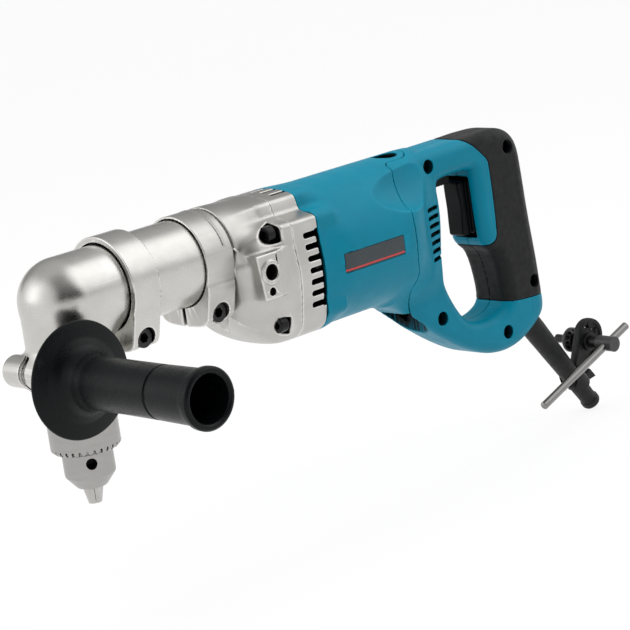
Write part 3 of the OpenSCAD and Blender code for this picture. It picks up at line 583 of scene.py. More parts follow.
def finishes():
    """All materials, by the record's slot or by a special use."""
    made = FINISHES
    if made:
        return made
    p = bpy.context.scene.drill_finishes

    def keep(f):
        made[f.name] = f.material

    keep(grainy("casting", p.casting, 1.0, 0.28, 1500, 0.09, 0.05, worn=(0.8, 0.79, 0.77), patch=45, cast=True))
    keep(grainy("gear_casting", tint(p.casting, 0.88), 1.0, 0.36, 1300, 0.13, 0.06, worn=(0.78, 0.77, 0.74), patch=45,
                cast=True))
    keep(grainy("teal_plastic", p.teal, 0.0, 0.4, 2600, 0.05, 0.06, worn=tint(p.teal, 1.2), patch=35, gloss=0.14,
                cast=True))
    rubber = grainy("rubber_grip", p.rubber, 0.0, 0.62, 1900, 0.2, 0.15, patch=80, gloss=0.25)
    rubber.set(Sheen_Weight=0.1, Sheen_Roughness=0.4)
    keep(rubber)
    keep(grainy("rubber_cord", tint(p.rubber, 0.6), 0.0, 0.5, 2200, 0.1, 0.12, patch=90, gloss=0.3))
    keep(grainy("side_plastic", p.black, 0.0, 0.28, 1500, 0.35, 0.15, worn=(0.006, 0.007, 0.008), patch=70,
                gloss=0.16))
    keep(grainy("control_plastic", p.black, 0.0, 0.4, 2500, 0.1, 0.15, worn=(0.006, 0.007, 0.008), gloss=0.12))
    keep(grainy("chuck_steel", tint(p.steel, 0.6), 1.0, 0.24, 1500, 0.03, 0.04, (1, 1, 6), (0.6, 0.59, 0.58), 60,
                lathe=0.8))
    keep(grainy("jaw_steel", tint(p.steel, 0.8), 1.0, 0.3, 1800, 0.08, 0.08, (9, 9, 1)))
    keep(grainy("bar_steel", tint(p.steel, 0.4), 1.0, 0.2, 1700, 0.05, 0.06))
    keep(grainy("key_steel", (0.016, 0.016, 0.016), 0.5, 0.3, 1500, 0.1, 0.15, worn=(0.06, 0.06, 0.06), gloss=0.4))
    keep(grainy("dark_steel", (0.007, 0.007, 0.0075), 0.4, 0.28, 1600, 0.08, 0.2, worn=(0.03, 0.03, 0.03), gloss=0.3))
    keep(grainy("thread_steel", (0.36, 0.355, 0.34), 1.0, 0.34, 1600, 0.1, 0.12))
    keep(grainy("bearing_steel", (0.6, 0.61, 0.62), 1.0, 0.2, 1800, 0.03, 0.05))
    keep(grainy("gear_steel", (0.4, 0.41, 0.42), 1.0, 0.32, 1500, 0.1, 0.12, worn=(0.62, 0.62, 0.62)))
    keep(grainy("shaft_steel", (0.5, 0.5, 0.5), 1.0, 0.26, 1600, 0.05, 0.08))
    keep(grainy("spring_steel", (0.55, 0.55, 0.54), 1.0, 0.3, 1600, 0.08, 0.08))
    keep(grainy("bronze", (0.48, 0.27, 0.1), 1.0, 0.36, 1600, 0.1, 0.15))
    keep(grainy("copper_bar", (0.7, 0.33, 0.17), 1.0, 0.28, 1500, 0.06, 0.12))
    keep(grainy("carbon", (0.02, 0.02, 0.021), 0.2, 0.55, 1800, 0.15, 0.2))
    keep(grainy("inner_plastic", (0.006, 0.006, 0.006), 0.0, 0.45, 1800, 0.1, 0.15, gloss=0.3))
    for name, colour, rough, stretch in (
            ("lamination", (0.16, 0.165, 0.17), 0.42, (14, 1, 1)),
            ("copper_winding", (0.5, 0.19, 0.07), 0.34, (1, 5, 5))):
        keep(grainy(name, colour, 0.9, rough, 900, 0.4, 0.25, stretch))
    plate = grainy("plate_grey", (0.02, 0.03, 0.037), 0.0, 0.3, 2200, 0.04, 0.08, patch=40)
    height = plate.add("ShaderNodeSeparateXYZ")
    plate.link(plate.place, height.inputs["Vector"])
    low, high = STRIPE_Z
    line = plate.add("ShaderNodeMath", operation="COMPARE")
    line.inputs[1].default_value, line.inputs[2].default_value = (low + high) / 2, (high - low) / 2
    plate.link(height.outputs["Z"], line.inputs[0])
    ground = plate.shader.inputs["Base Color"].links[0].from_socket
    plate.link(plate.mixed(line.outputs["Value"], ground, tuple(p.stripe)), plate.shader.inputs["Base Color"])
    keep(plate)
    return made


# Cast and moulded forms
def collar_skin(x, y, z, x0, x1, radius):
    """Clamp collar with its ears."""
    ring = rod(y, z, x, radius, x0, x1, 0.7)
    return np.minimum(ring, both(outline(EAR_LINE, y, z), span(x, x0, x1), 1.0))


def collar_cuts(x, y, z, x0, x1, radius):
    """Slit between the ears and the bolt's recess."""
    mid = (x0 + x1) / 2
    slit = np.maximum(np.maximum(np.abs(y) - 1.5, z + 20.0), span(x, x0 - 1.0, x1 + 0.4))
    recess = rod(x - mid, z - BOLT_Z, y, 6.9, -60.0, -13.0, 0.2)
    return np.minimum(np.minimum(slit, recess), np.hypot(x - mid, z - BOLT_Z) - 4.05)


def head_skin(x, y, z):
    leg = both(np.sqrt(x * x + y * y + np.maximum(z, 0.0) ** 2) - 26.6, -57.0 - z, 1.4)
    arm = both(np.sqrt(np.minimum(x, 0.0) ** 2 + y * y + z * z) - 27.1, x - 33.0, 1.2)
    d = join(leg, arm, np.interp(x - z, (4.0, 40.0), (0.8, 10.0)))
    boss = rod(x - BOSS_X, z - BOSS_Z, y, 10.1, *BOSS_ENDS, 2.2)
    d = join(d, boss, 5.5)
    return join(d, rod(y, z, x, 24.8, 0.0, 51.2, 0.6), 0.3)


def head_form(x, y, z):
    d = cut(head_skin(x, y, z), np.maximum(27.5 - np.hypot(y, z), 30.2 - x), 0.4)
    at_boss = np.hypot(x - BOSS_X, z - BOSS_Z)
    for y0, y1, radius in ((4.4, 7.6, 8.4), (8.5, 10.5, 8.9)):
        d = cut(d, np.maximum(both(span(y, y0, y1), radius - at_boss, 0.2), at_boss - 11.5), 0.4)
    bores = np.minimum(rod(x, y, z, 20.05, -70.0, 0.0), rod(y, z, x, 18.05, 0.0, 70.0))
    bores = np.minimum(bores, np.sqrt(x * x + y * y + z * z) - 22.5)
    for y0, y1 in ((-50.0, -12.7), (12.5, 50.0)):
        bores = np.minimum(bores, rod(x - BOSS_X, z - BOSS_Z, y, 6.05, y0, y1))
    return cut(d, bores, 0.6)


def sleeve_skin(x, y, z):
    return join(rod(y, z, x, 28.15, 33.2, 107.7, 0.5), collar_skin(x, y, z, *COLLARS[0]), 0.5)


def sleeve_form(x, y, z):
    d = cut(sleeve_skin(x, y, z), collar_cuts(x, y, z, *COLLARS[0]), 0.5)
    d = cut(d, np.maximum(np.hypot(y, z) - 28.3, x - 35.0), 0.4)
    bore = np.minimum(rod(y, z, x, 25.2, 0.0, 52.7), np.hypot(y, z) - 22.0)
    return cut(d, bore, 0.4)


def section(side, m):
    return outline(SECTION_LINE, side, m)


def gear_skin(x, y, z):
    """Gear housing before its holes: a shoulder that runs from the collar to the plate, over a bowl."""
    m, side = z + MOTOR_DROP, np.abs(y)
    across = section(side, m)
    share = eased(x, 114.0, 38.0)
    tube = np.hypot(y, z) - 30.7
    shoulder = both(tube * (1 - share) + across * share, 108.0 - x, 0.5)
    ledge = np.interp(x, (112, 115, 118, 123, 128, 136, 200), (8.2, 5.2, 2.2, -0.4, -2.0, -2.8, -2.9))
    shoulder = both(shoulder, ledge - z, 1.6)
    bowl = outline(BOWL_LINE, x, across + MOTOR_R)
    cheek = capsule(x, side, z, (131.0, 22.5, -6.0), (136.0, 23.0, -24.0), 17.5, 16.5)
    bowl = smooth_min(bowl, cheek, 10.0)
    d = join(join(shoulder, bowl, 1.6), rod(y, z, x, 24.5, 96.0, 130.0), 3.0)
    face = np.interp(x, (137.0, 154.0), (44.5, 39.0))
    pad = both(outline(((120.5, -0.5), (154.0, -0.5), (152.0, -30.0), (124.0, -30.0)), x, z),
               np.maximum(side - face, 22.0 - side), 0.9)
    d = smooth_min(d, pad, 2.2)
    d = join(d, rod(x - SIDE_HOLE[0], z - SIDE_HOLE[1], side, 8.0, 30.0, 45.8, 0.7), 0.8)
    d = both(d, x - (SEAM_X - 0.12), 0.5)
    d = cut(d, np.maximum(both(span(x, 110.0, 116.6), 28.6 - np.hypot(y, z), 0.2), 6.0 - z), 0.5)
    return join(d, collar_skin(x, y, z, *COLLARS[1]), 0.3)


def gear_form(x, y, z):
    m, side = z + MOTOR_DROP, np.abs(y)
    at_motor, at_sleeve = np.hypot(y, m), np.hypot(y, z)
    d = cut(gear_skin(x, y, z), collar_cuts(x, y, z, *COLLARS[1]), 0.5)
    d = cut(d, rod(x - SIDE_HOLE[0], z - SIDE_HOLE[1], side, 5.1, 33.5, 60.0), 0.8)
    d = cut(d, rod(x - 130.4, z + 25.2, side, 2.7, 41.0, 60.0), 0.3)
    d = cut(d, block(x, side, z, (136.6, 138.0), (42.0, 60.0), (-8.5, -2.2), 0.4), 0.3)
    for front, back, radius in (((127.0, 47.0, 11.2), (149.0, 35.2, 10.6), 8.0),
                                ((129.0, 43.5, -53.0), (149.0, 33.4, -51.6), 5.9)):
        pocket = both(capsule(x, side, z, front, back, radius, radius), x - 147.4, 0.6)
        d = smooth_max(d, -pocket, 1.4)
    bores = np.minimum(rod(y, z, x, 28.2, 60.0, 108.0), at_sleeve - 17.55 + np.maximum(112.0 - x, 0) * 3)
    bores = np.minimum(bores, np.maximum(at_sleeve - 22.8, 127.5 - x))
    bores = np.minimum(bores, np.maximum(at_motor - 31.0, 128.5 - x))
    bores = np.minimum(bores, np.maximum(at_motor - 38.5, 142.5 - x))
    d = cut(d, bores, 0.3)
    d = cut(d, rod(y, z, x, 28.9, 80.0, 96.0, 0.2), 0.3)
    return cut(d, np.maximum(np.hypot(side - CASE_Y, np.abs(m) - CASE_Z) - 2.6, 143.0 - x), 0.2)


def plate_skin(x, y, z):
    return both(section(np.abs(y), z + MOTOR_DROP), span(x, SEAM_X + 0.12, PLATE_X - 0.12), 0.6)


def plate_form(x, y, z):
    m, side = z + MOTOR_DROP, np.abs(y)
    d = plate_skin(x, y, z)
    for k in range(-3, 4):
        d = cut(d, block(x, side, m, (166.0, 190.0), (25.0, 70.0), (7.6 * k - 1.8, 7.6 * k + 1.8), 1.4), 0.5)
    for y0 in (3.0, 11.8):
        d = cut(d, block(x, side, m, (166.0, 190.0), (y0, y0 + 3.2), (36.0, 70.0), 1.3), 0.5)
    d = cut(d, block(x, side, m, (176.2, 190.0), (20.0, 70.0), (-25.5, 25.5), 0.8), 0.5)
    r = np.hypot(y, m)
    hub = np.maximum(r - 16.5, x - 171.9)
    inside = np.maximum(np.maximum(section(side, m) + 4.2, r - 43.8), 161.0 - x)
    d = cut(d, np.maximum(inside, -hub), 0.3)
    d = cut(d, np.minimum(np.maximum(r - 13.02, 161.0 - x), r - 7.0), 0.2)
    return cut(d, np.hypot(side - CASE_Y, np.abs(m) - CASE_Z) - 2.6, 0.2)


def scoop(x, side, z):
    """Hollow beside the top of the handle."""
    u, v, w = (x - 300.0) / SCOOP_LONG, (side - 51.9) / SCOOP_R, (z - 22.6) / SCOOP_R
    k = np.sqrt(u * u + v * v + w * w)
    g = np.sqrt((u / SCOOP_LONG) ** 2 + (v / SCOOP_R) ** 2 + (w / SCOOP_R) ** 2)
    return k * (k - 1) / np.maximum(g, 1e-6)


def barrel_skin(x, y, m):
    """Round motor body, drawn into the plate's section at its front."""
    r = np.sqrt((y / 45.2) ** 2 + ((m - 0.75) / 48.7) ** 2)
    share = eased(x, 180.0, 26.0)
    return (r - 1) * 47.0 * share + section(np.abs(y), m) * (1 - share)


def moulding(x, y, z):
    """Outer skin of motor housing and handle in one."""
    m, side = z + MOTOR_DROP, np.abs(y)
    barrel = barrel_skin(x, y, m)
    taper = (side - (46.4 - (x - 267.5) * 0.87)) / 1.325
    tail = both(both(barrel, taper, 9.0), x - 310.0, 5.0)
    ring = cut(outline(OUTER_LINE, x, z), outline(OPENING_LINE, x, z), 0.01)
    slab = both(ring, side - GRIP_HALF, np.interp(x, (362.0, 398.0), (GRIP_ROUND, 14.0)))
    d = join(tail, slab, np.interp(z, (2.0, 18.0), (9.0, 0.6)))
    pads = rod(side - CASE_Y + 0.4, np.abs(m) - CASE_Z + 1.0, x, 7.3, 170.0, 196.5, 1.6)
    d = np.where(x < 215.0, smooth_min(d, pads, 2.0), d)
    return cut(d, scoop(x, side, z), 0.8)


def motor_side(x, y, z):
    """Distance into the handle from the seam with the motor housing."""
    side = x - np.interp(z, SEAM_HEIGHTS, SEAM_XS)
    tongue = np.where(x < BRUSH_X, np.abs(y), np.hypot(x - BRUSH_X, y)) - 14.0
    tongue = np.where(np.abs(z + MOTOR_DROP) > 25.0, tongue, 50.0)
    return join(side, tongue, 5.0)


def brush_hole(x, y, z):
    return np.maximum(np.hypot(x - BRUSH_X, y) - 9.1, 15.0 - np.abs(z + MOTOR_DROP))


def guard_place(x, z):
    """Distance beside and along the cord guard."""
    ux, uz = GUARD_WAY
    dx, dz = x - GUARD_FOOT[0], z - GUARD_FOOT[1]
    return dx * -uz + dz * ux, dx * ux + dz * uz


def name_place(x, y, z, room):
    """Shallow seat of the blank name plate, with room all round."""
    m = z + MOTOR_DROP
    area = both(span(x, *NAME_X), span(z, *NAME_Z), 0.5) - room
    return np.maximum(area, np.maximum(-(barrel_skin(x, y, m) + 0.8 + room), y))


def name_plate_form(x, y, z):
    return both(name_place(x, y, z, 0.0), barrel_skin(x, y, z + MOTOR_DROP) + 0.12, 0.2)


def motor_form(x, y, z):
    gap = bpy.context.scene.drill_sizes.seam_gap / MM / 2
    skin = moulding(x, y, z)
    d = both(skin, motor_side(x, y, z) + gap, 0.5)
    d = both(d, PLATE_X + 0.12 - x, 0.5)
    d = cut(d, skin + 3.6, 0.3)
    d = cut(d, name_place(x, y, z, 0.15), 0.15)
    return cut(d, brush_hole(x, y, z), 0.9)


def handle_parts(x, y, z, screws):
    """Plain skin, rubber zone and everything that is cut out of both."""
    skin = moulding(x, y, z)
    zone = outline(RUBBER_LINE, x, z)
    pocket = block(x, y, z, (338.0, 358.0), (-10.3, 10.3), (-45.6, -1.4), 1.5)
    holes = np.minimum(pocket, brush_hole(x, y, z))
    for px, pz in screws:
        holes = np.minimum(holes, rod(x - px, z - pz, y, 4.8, -60.0, -8.0, 0.2))
    across, along = guard_place(x, z)
    return skin, zone, np.minimum(holes, np.maximum(np.hypot(across, y) - 8.8, -12.0 - along))


def handle_form(x, y, z, screws):
    gap = bpy.context.scene.drill_sizes.seam_gap / MM / 2
    skin, zone, holes = handle_parts(x, y, z, screws)
    d = cut(skin, both(zone - 0.15, -(skin + RUBBER + 0.15), 0.2), 0.5)
    d = both(d, gap - motor_side(x, y, z), 0.5)
    hollow = skin + 5.2
    for px, pz in HANDLE_SCREWS:
        hollow = cut(hollow, np.hypot(x - px, z - pz) - 7.0, 0.2)
    d = cut(d, hollow, 0.2)
    for k in range(7):
        low = -48.6 + 5.75 * k
        d = cut(d, block(x, np.abs(y), z, (294.4, 309.6), (7.0, 70.0), (low, low + 2.7), 1.1), 0.4)
    d = cut(d, holes, 0.8)
    return both(d, y + 0.06, 0.35)


def grip_form(x, y, z, screws):
    skin, zone, holes = handle_parts(x, y, z, screws)
    d = both(skin, zone + 0.15, 0.7)
    d = cut(d, skin + RUBBER, 0.2)
    d = cut(d, holes, 0.9)
    return both(d, y + 0.06, 0.35)


def trigger_form(x, y, z):
    side = np.abs(y)
    curve = 60.0 - np.hypot(x - 283.4, z + 23.5)
    bar = both(both(span(x, 342.4, 349.4), side - 7.7, 2.2), span(z, -42.5, -4.0), 2.0)
    waist = both(both(span(x, 345.0, 355.4), side - 6.2, 0.6), span(z, -42.0, -4.4), 1.5)
    flange = both(both(span(x, 350.8, 355.4), side - 9.2, 1.3), span(z, -42.5, -4.0), 2.0)
    d = both(join(join(bar, waist, 0.8), flange, 0.8), curve, 0.8)
    return join(d, rod(y, z + 23.0, x, 2.1, 354.0, 369.0), 0.4)


def lever_form(x, y, z):
    d = block(x, y, z, (322.0, 338.0), (-5.0, 5.0), (-3.6, 3.2), 1.3)
    for k in range(4):
        d = cut(d, rod(x - 323.6 - 2.6 * k, z + 4.6, y, 1.5, -20.0, 20.0), 0.3)
    return join(d, rod(x - 334.0, y, z, 3.2, 2.0, 11.0), 0.6)


def chuck_sleeve_skin(x, y, z):
    r = np.hypot(x, y)
    return both(both(r - 22.0, span(z, CHUCK_RIM, -68.5), 0.9), (r - 19.7 - (z - CHUCK_RIM)) / 1.414, 0.4)


def chuck_sleeve_form(x, y, z):
    r = np.hypot(x, y)
    d = chuck_sleeve_skin(x, y, z)
    d = cut(d, np.minimum(r - 18.35, np.maximum(r - 19.4, -80.5 - z)), 0.3)
    turn = np.mod(np.arctan2(y, x), math.pi / 15) - math.pi / 30
    notch = both(np.abs(turn * r) - 1.1 + (z - CHUCK_RIM) * 0.14, z + 90.9, 0.6)
    d = cut(d, notch, 0.35)
    for z0 in (-71.4, -73.2):
        d = cut(d, np.hypot(np.maximum(r, 18.0) - 22.1, z - z0) - 0.45, 0.2)
    return d


def chuck_body_skin(x, y, z):
    return outline(CHUCK_LINE, np.hypot(x, y), z)


def chuck_body_form(x, y, z):
    r = np.hypot(x, y)
    d = chuck_body_skin(x, y, z)
    d = cut(d, outline(((13.4, -90.4), (25, -90.4), (25, -83.6), (15.1, -83.6)), r, z), 0.2)
    d = cut(d, np.minimum(np.maximum(r - 6.35, -76.7 - z), np.maximum(r - 6.6, z + 80.0)), 0.5)
    for k in range(3):
        a = 2 * math.pi * k / 3
        u, v = x * math.cos(a) + y * math.sin(a), -x * math.sin(a) + y * math.cos(a)
        d = cut(d, rod(v, z + 100.6, u, 3.4, 9.0, 30.0, 0.3), 0.4)
        b = a + math.pi / 3
        u, v = x * math.cos(b) + y * math.sin(b), -x * math.sin(b) + y * math.cos(b)
        lean = math.radians(14)
        low = u + 0.1, z + AXIS_H
        across = low[0] * math.cos(lean) - low[1] * math.sin(lean)
        d = cut(d, np.hypot(across, v) - 4.3, 0.3)
    return d


def holder_form(x, y, z):
    across, along = guard_place(x, z)
    loop = rod(across, y, along, 9.5, 60.0, 74.0, 0.9)
    eye = capsule(x, 0 * y, z, (KEY[0] + 4.0, 0.0, KEY[1] + 3.0), (450.0, 0.0, -166.0), 13.0, 6.5)
    leaf = both(eye, np.abs(y) - 2.0, 0.9)
    rim = both(np.abs(eye + 1.6) - 1.6, np.abs(y) - 3.2, 0.7)
    d = join(join(loop, leaf, 2.0), rim, 0.8)
    u, w = x - KEY[0], z - KEY[1]
    d = join(d, rod(u, w, y, 6.6, -6.0, 6.0, 0.8), 1.0)
    tab = outline(((452.0, -176.0), (460.5, -171.5), (466.0, -178.6), (459.5, -179.5)), x, z)
    d = join(d, both(tab, np.abs(y) - 1.6, 0.5), 1.0)
    for a in (35.0, 80.0, -15.0):
        c, s = math.cos(math.radians(a)), math.sin(math.radians(a))
        p, q = u * c + w * s - 11.2, -u * s + w * c
        window = np.maximum(np.abs(q) * 0.87 + p * 0.5, -p) - 1.5
        d = cut(d, window, 0.4)
    d = cut(d, np.hypot(u, w) - 4.05, 0.4)
    return cut(d, np.hypot(across, y) - 7.45, 0.4)


def screw_heads(x, y, z):
    """Socket head case screws in their pockets."""
    m = z + MOTOR_DROP
    u, v = np.abs(y) - CASE_Y, np.abs(m) - CASE_Z
    head = rod(u, v, x, 5.4, 138.6, 145.0, 0.8)
    d = join(head, rod(u, v, x, 2.5, 144.0, 196.0), 0.2)
    return cut(d, both(hex_bar(u, v, 2.3), x - 142.2, 0.2), 0.3)


class DrillPiece:
    """Shared by the operators of the panel."""

    bl_options = {"REGISTER"}

    def shape(self, name, field, low, high, body, slot, node, finish=None, fine=False, **marks):
        """A formed piece on its body, which stands for a node."""
        s = bpy.context.scene.drill_sizes
        mesh = formed(name, field, low, high, (s.fine_step if fine else s.step) / MM, s.keep, **marks)
        piece(name, mesh, body, slot, finishes()[finish or slot], node)


class DRILL_OT_stage(bpy.types.Operator, DrillPiece):
    """Camera, pale floor and soft studio light"""

    bl_idname = "drill.stage"
    bl_label = "Stage"

    def execute(self, context):
        scene, s = context.scene, context.scene.drill_stage
        scene.view_settings.view_transform = "Standard"
        self.camera(scene, s)
        self.floor(scene, s)
        self.surroundings(scene, s)
        self.lamps(scene, s)
        return {"FINISHED"}

    def camera(self, scene, s):
        camera = bpy.data.cameras.new("camera")
        camera.lens, camera.sensor_width = s.lens, 36.0
        camera.clip_start, camera.clip_end = 0.05, 20.0
        back = Vector(CAMERA_BACK).normalized()
        right = Vector(CAMERA_TOP).cross(back).normalized()
        turn = Matrix((right, back.cross(right), back)).transposed().to_4x4()
        eye = bpy.data.objects.new("camera", camera)
        eye.matrix_world = Matrix.Translation(Vector(s.eye)) @ turn
        scene.collection.objects.link(eye)
        scene.camera = eye

    def lamps(self, scene, s):
        middle = Vector((0.2, 0.0, 0.08))
        for name, place, size, power, tone in (
                ("key", (-0.65, -0.6, 1.45), (0.9, 0.9), s.key_power, (1.0, 0.99, 0.97)),
                ("fill", (1.25, -0.85, 0.65), (0.7, 1.0), s.fill_power, (0.97, 0.99, 1.0)),
                ("top", (0.25, 0.3, 1.3), (1.2, 0.7), s.top_power, (1.0, 1.0, 1.0))):
            lamp = bpy.data.lights.new(name, "AREA")
            lamp.shape, lamp.size, lamp.size_y = "RECTANGLE", *size
            lamp.energy, lamp.color = power, tone
            obj = bpy.data.objects.new(name, lamp)
            obj.location = place
            obj.rotation_euler = (middle - Vector(place)).to_track_quat("-Z", "Y").to_euler()
            obj.visible_glossy = False
            scene.collection.objects.link(obj)

    def floor(self, scene, s):
        low = CAD_BOX[0][2] - FLOOR_ROOM
        corners = [(a * FLOOR_HALF, b * FLOOR_HALF) for a, b in ((-1, -1), (1, -1), (1, 1), (-1, 1))]
        walls = [(k, (k + 1) % 4, (k + 1) % 4 + 4, k + 4) for k in range(4)]
        mesh = bpy.data.meshes.new("floor")
        mesh.from_pydata(
            [(a, b, low + h) for h in (0.0, WALL_HEIGHT) for a, b in corners], [], [(0, 1, 2, 3)] + walls)
        floor = bpy.data.objects.new("floor", mesh)
        scene.collection.objects.link(floor)
        f = Finish("floor_paper")
        f.set(Roughness=0.9, Specular_IOR_Level=0.1)
        f.link(f.ramp(f.noise(6.0), ((0.3, tint(s.floor, 0.99)), (0.7, tint(s.floor, 1.01)))),
               f.shader.inputs["Base Color"])
        rays = f.add("ShaderNodeLightPath")
        seen = rays.outputs["Is Camera Ray"]
        for kind in ("Is Glossy Ray", "Is Transmission Ray"):
            either = f.add("ShaderNodeMath", operation="MAXIMUM")
            f.link(seen, either.inputs[0])
            f.link(rays.outputs[kind], either.inputs[1])
            seen = either.outputs["Value"]
        share = f.add("ShaderNodeMath", operation="MULTIPLY")
        share.inputs[1].default_value = FLOOR_WHITE
        f.link(seen, share.inputs[0])
        white = f.add("ShaderNodeEmission")
        white.inputs["Strength"].default_value = 1.0
        white.inputs["Color"].default_value = (1.0, 1.0, 1.0, 1.0)
        mix = f.add("ShaderNodeMixShader")
        f.link(share.outputs["Value"], mix.inputs["Fac"])
        f.link(f.shader.outputs["BSDF"], mix.inputs[1])
        f.link(white.outputs["Emission"], mix.inputs[2])
        f.link(mix.outputs["Shader"], f.first("OUTPUT_MATERIAL").inputs["Surface"])
        mesh.materials.append(f.material)

    def surroundings(self, scene, s):
        world = bpy.data.worlds.new("studio")
        scene.world = world
        world.use_nodes = True
        n = Nodes(world.node_tree)
        place = n.add("ShaderNodeTexCoord").outputs["Generated"]
        level = None
        for azimuth, height, inner, outer, amount in SKY_PANELS:
            a, e = math.radians(azimuth), math.radians(height)
            toward = n.add("ShaderNodeVectorMath", operation="DOT_PRODUCT")
            toward.inputs[1].default_value = (math.cos(e) * math.cos(a), math.cos(e) * math.sin(a), math.sin(e))
            n.link(place, toward.inputs[0])
            total = n.add("ShaderNodeMath", operation="ADD")
            total.inputs[1].default_value = PLAIN_SKY
            start, end = (math.cos(math.radians(angle)) for angle in (outer, inner))
            n.link(n.between(toward.outputs["Value"], 0.0, amount, start, end, "SMOOTHSTEP"), total.inputs[0])
            if level:
                n.link(level, total.inputs[1])
            level = total.outputs["Value"]
        sky = n.first("BACKGROUND")
        n.link(level, sky.inputs["Color"])
        sky.inputs["Strength"].default_value = s.world


class DRILL_OT_head(bpy.types.Operator, DrillPiece):
    """Cast angle head with its side handle boss"""

    bl_idname = "drill.head"
    bl_label = "Angle head"

    def execute(self, context):
        self.shape("angle_head", head_form, (-36, -37, -58), (52, 29, 29), "head", "cast_aluminium", "head_casing",
                   "casting", skin=head_skin)
        return {"FINISHED"}


class DRILL_OT_sleeve(bpy.types.Operator, DrillPiece):
    """Joint sleeve with its front clamp collar"""

    bl_idname = "drill.sleeve"
    bl_label = "Joint sleeve"

    def execute(self, context):
        self.shape("clamp_sleeve", sleeve_form, (31, -33, -42), (108, 33, 33), "housing", "cast_aluminium",
                   "joint_sleeve", "casting", skin=sleeve_skin, depth=(0.5, 1.6))
        return {"FINISHED"}


class DRILL_OT_gear_case(bpy.types.Operator, DrillPiece):
    """Gear housing and the slotted bearing plate behind it"""

    bl_idname = "drill.gear_case"
    bl_label = "Gear housing and plate"

    def execute(self, context):
        self.shape("gear_case", gear_form, (91, -49, -71), (158, 49, 33), "housing", "cast_aluminium",
                   "gear_housing", "gear_casting", skin=gear_skin, depth=(0.4, 2.2))
        self.shape("slotted_plate", plate_form, (156, -45, -71), (180, 45, 31), "housing", "cast_aluminium",
                   "bearing_plate", "gear_casting", skin=plate_skin, depth=(0.6, 1.2))
        self.shape("socket_screws", screw_heads, (138, -41, -58), (197, 41, 16), "housing", "dark_steel",
                   "case_screws", fine=True)
        return {"FINISHED"}


class DRILL_OT_motor(bpy.types.Operator, DrillPiece):
    """Moulded motor housing and the blank plate on it"""

    bl_idname = "drill.motor"
    bl_label = "Motor housing"

    def execute(self, context):
        self.shape("motor_shell", motor_form, (178, -47, -78), (299, 47, 31), "housing", "teal_plastic",
                   "motor_housing", skin=moulding, depth=(0.35, 0.7))
        self.shape("name_plate_blank", name_plate_form, (194, -47, -31), (250, -40, -15), "housing", "plate_grey",
                   "name_plate", fine=True)
        return {"FINISHED"}


class DRILL_OT_handle(bpy.types.Operator, DrillPiece):
    """Two moulded handle halves with their rubber covers"""

    bl_idname = "drill.handle"
    bl_label = "Handle"

    def execute(self, context):
        for form, words, slot, front in (
                (handle_form, "handle", "teal_plastic", 258), (grip_form, "grip", "rubber_grip", 332)):
            def left(x, y, z, form=form):
                return form(x, y, z, HANDLE_SCREWS)

            def right(x, y, z, form=form):
                return form(x, -y, z, ())
            for name, half, low_y in (("left", left, -49), ("right", right, 0)):
                self.shape(f"{words}_shell_{name}", half, (front, low_y, -132), (415, low_y + 49, 29), "housing", slot,
                           f"{words}_{name}", skin=moulding, depth=(0.35, 0.7))
        return {"FINISHED"}


class DRILL_OT_controls(bpy.types.Operator, DrillPiece):
    """Trigger and reversing lever"""

    bl_idname = "drill.controls"
    bl_label = "Trigger and lever"

    def execute(self, context):
        self.shape("trigger_bar", trigger_form, (342, -10, -43), (370, 10, -3), "trigger", "control_plastic",
                   "trigger", fine=True)
        self.shape("lever_knob", lever_form, (321, -6, -4), (339, 6, 12), "lever", "control_plastic",
                   "reverse_lever", fine=True)
        return {"FINISHED"}


class DRILL_OT_chuck(bpy.types.Operator, DrillPiece):
    """Keyed chuck: turned body and toothed sleeve"""

    bl_idname = "drill.chuck"
    bl_label = "Chuck"

    def execute(self, context):
        self.shape("chuck_ring_turned", chuck_sleeve_form, (-23, -23, -95), (23, 23, -68), "chuck_ring", "chuck_steel",
                   "chuck_sleeve", fine=True, skin=chuck_sleeve_skin, depth=(0.25, 0.5))
        self.shape("chuck_core", chuck_body_form, (-20, -20, -119), (20, 20, -61), "spindle", "chuck_steel",
                   "chuck_body", fine=True, skin=chuck_body_skin, depth=(0.4, 0.6))
        return {"FINISHED"}


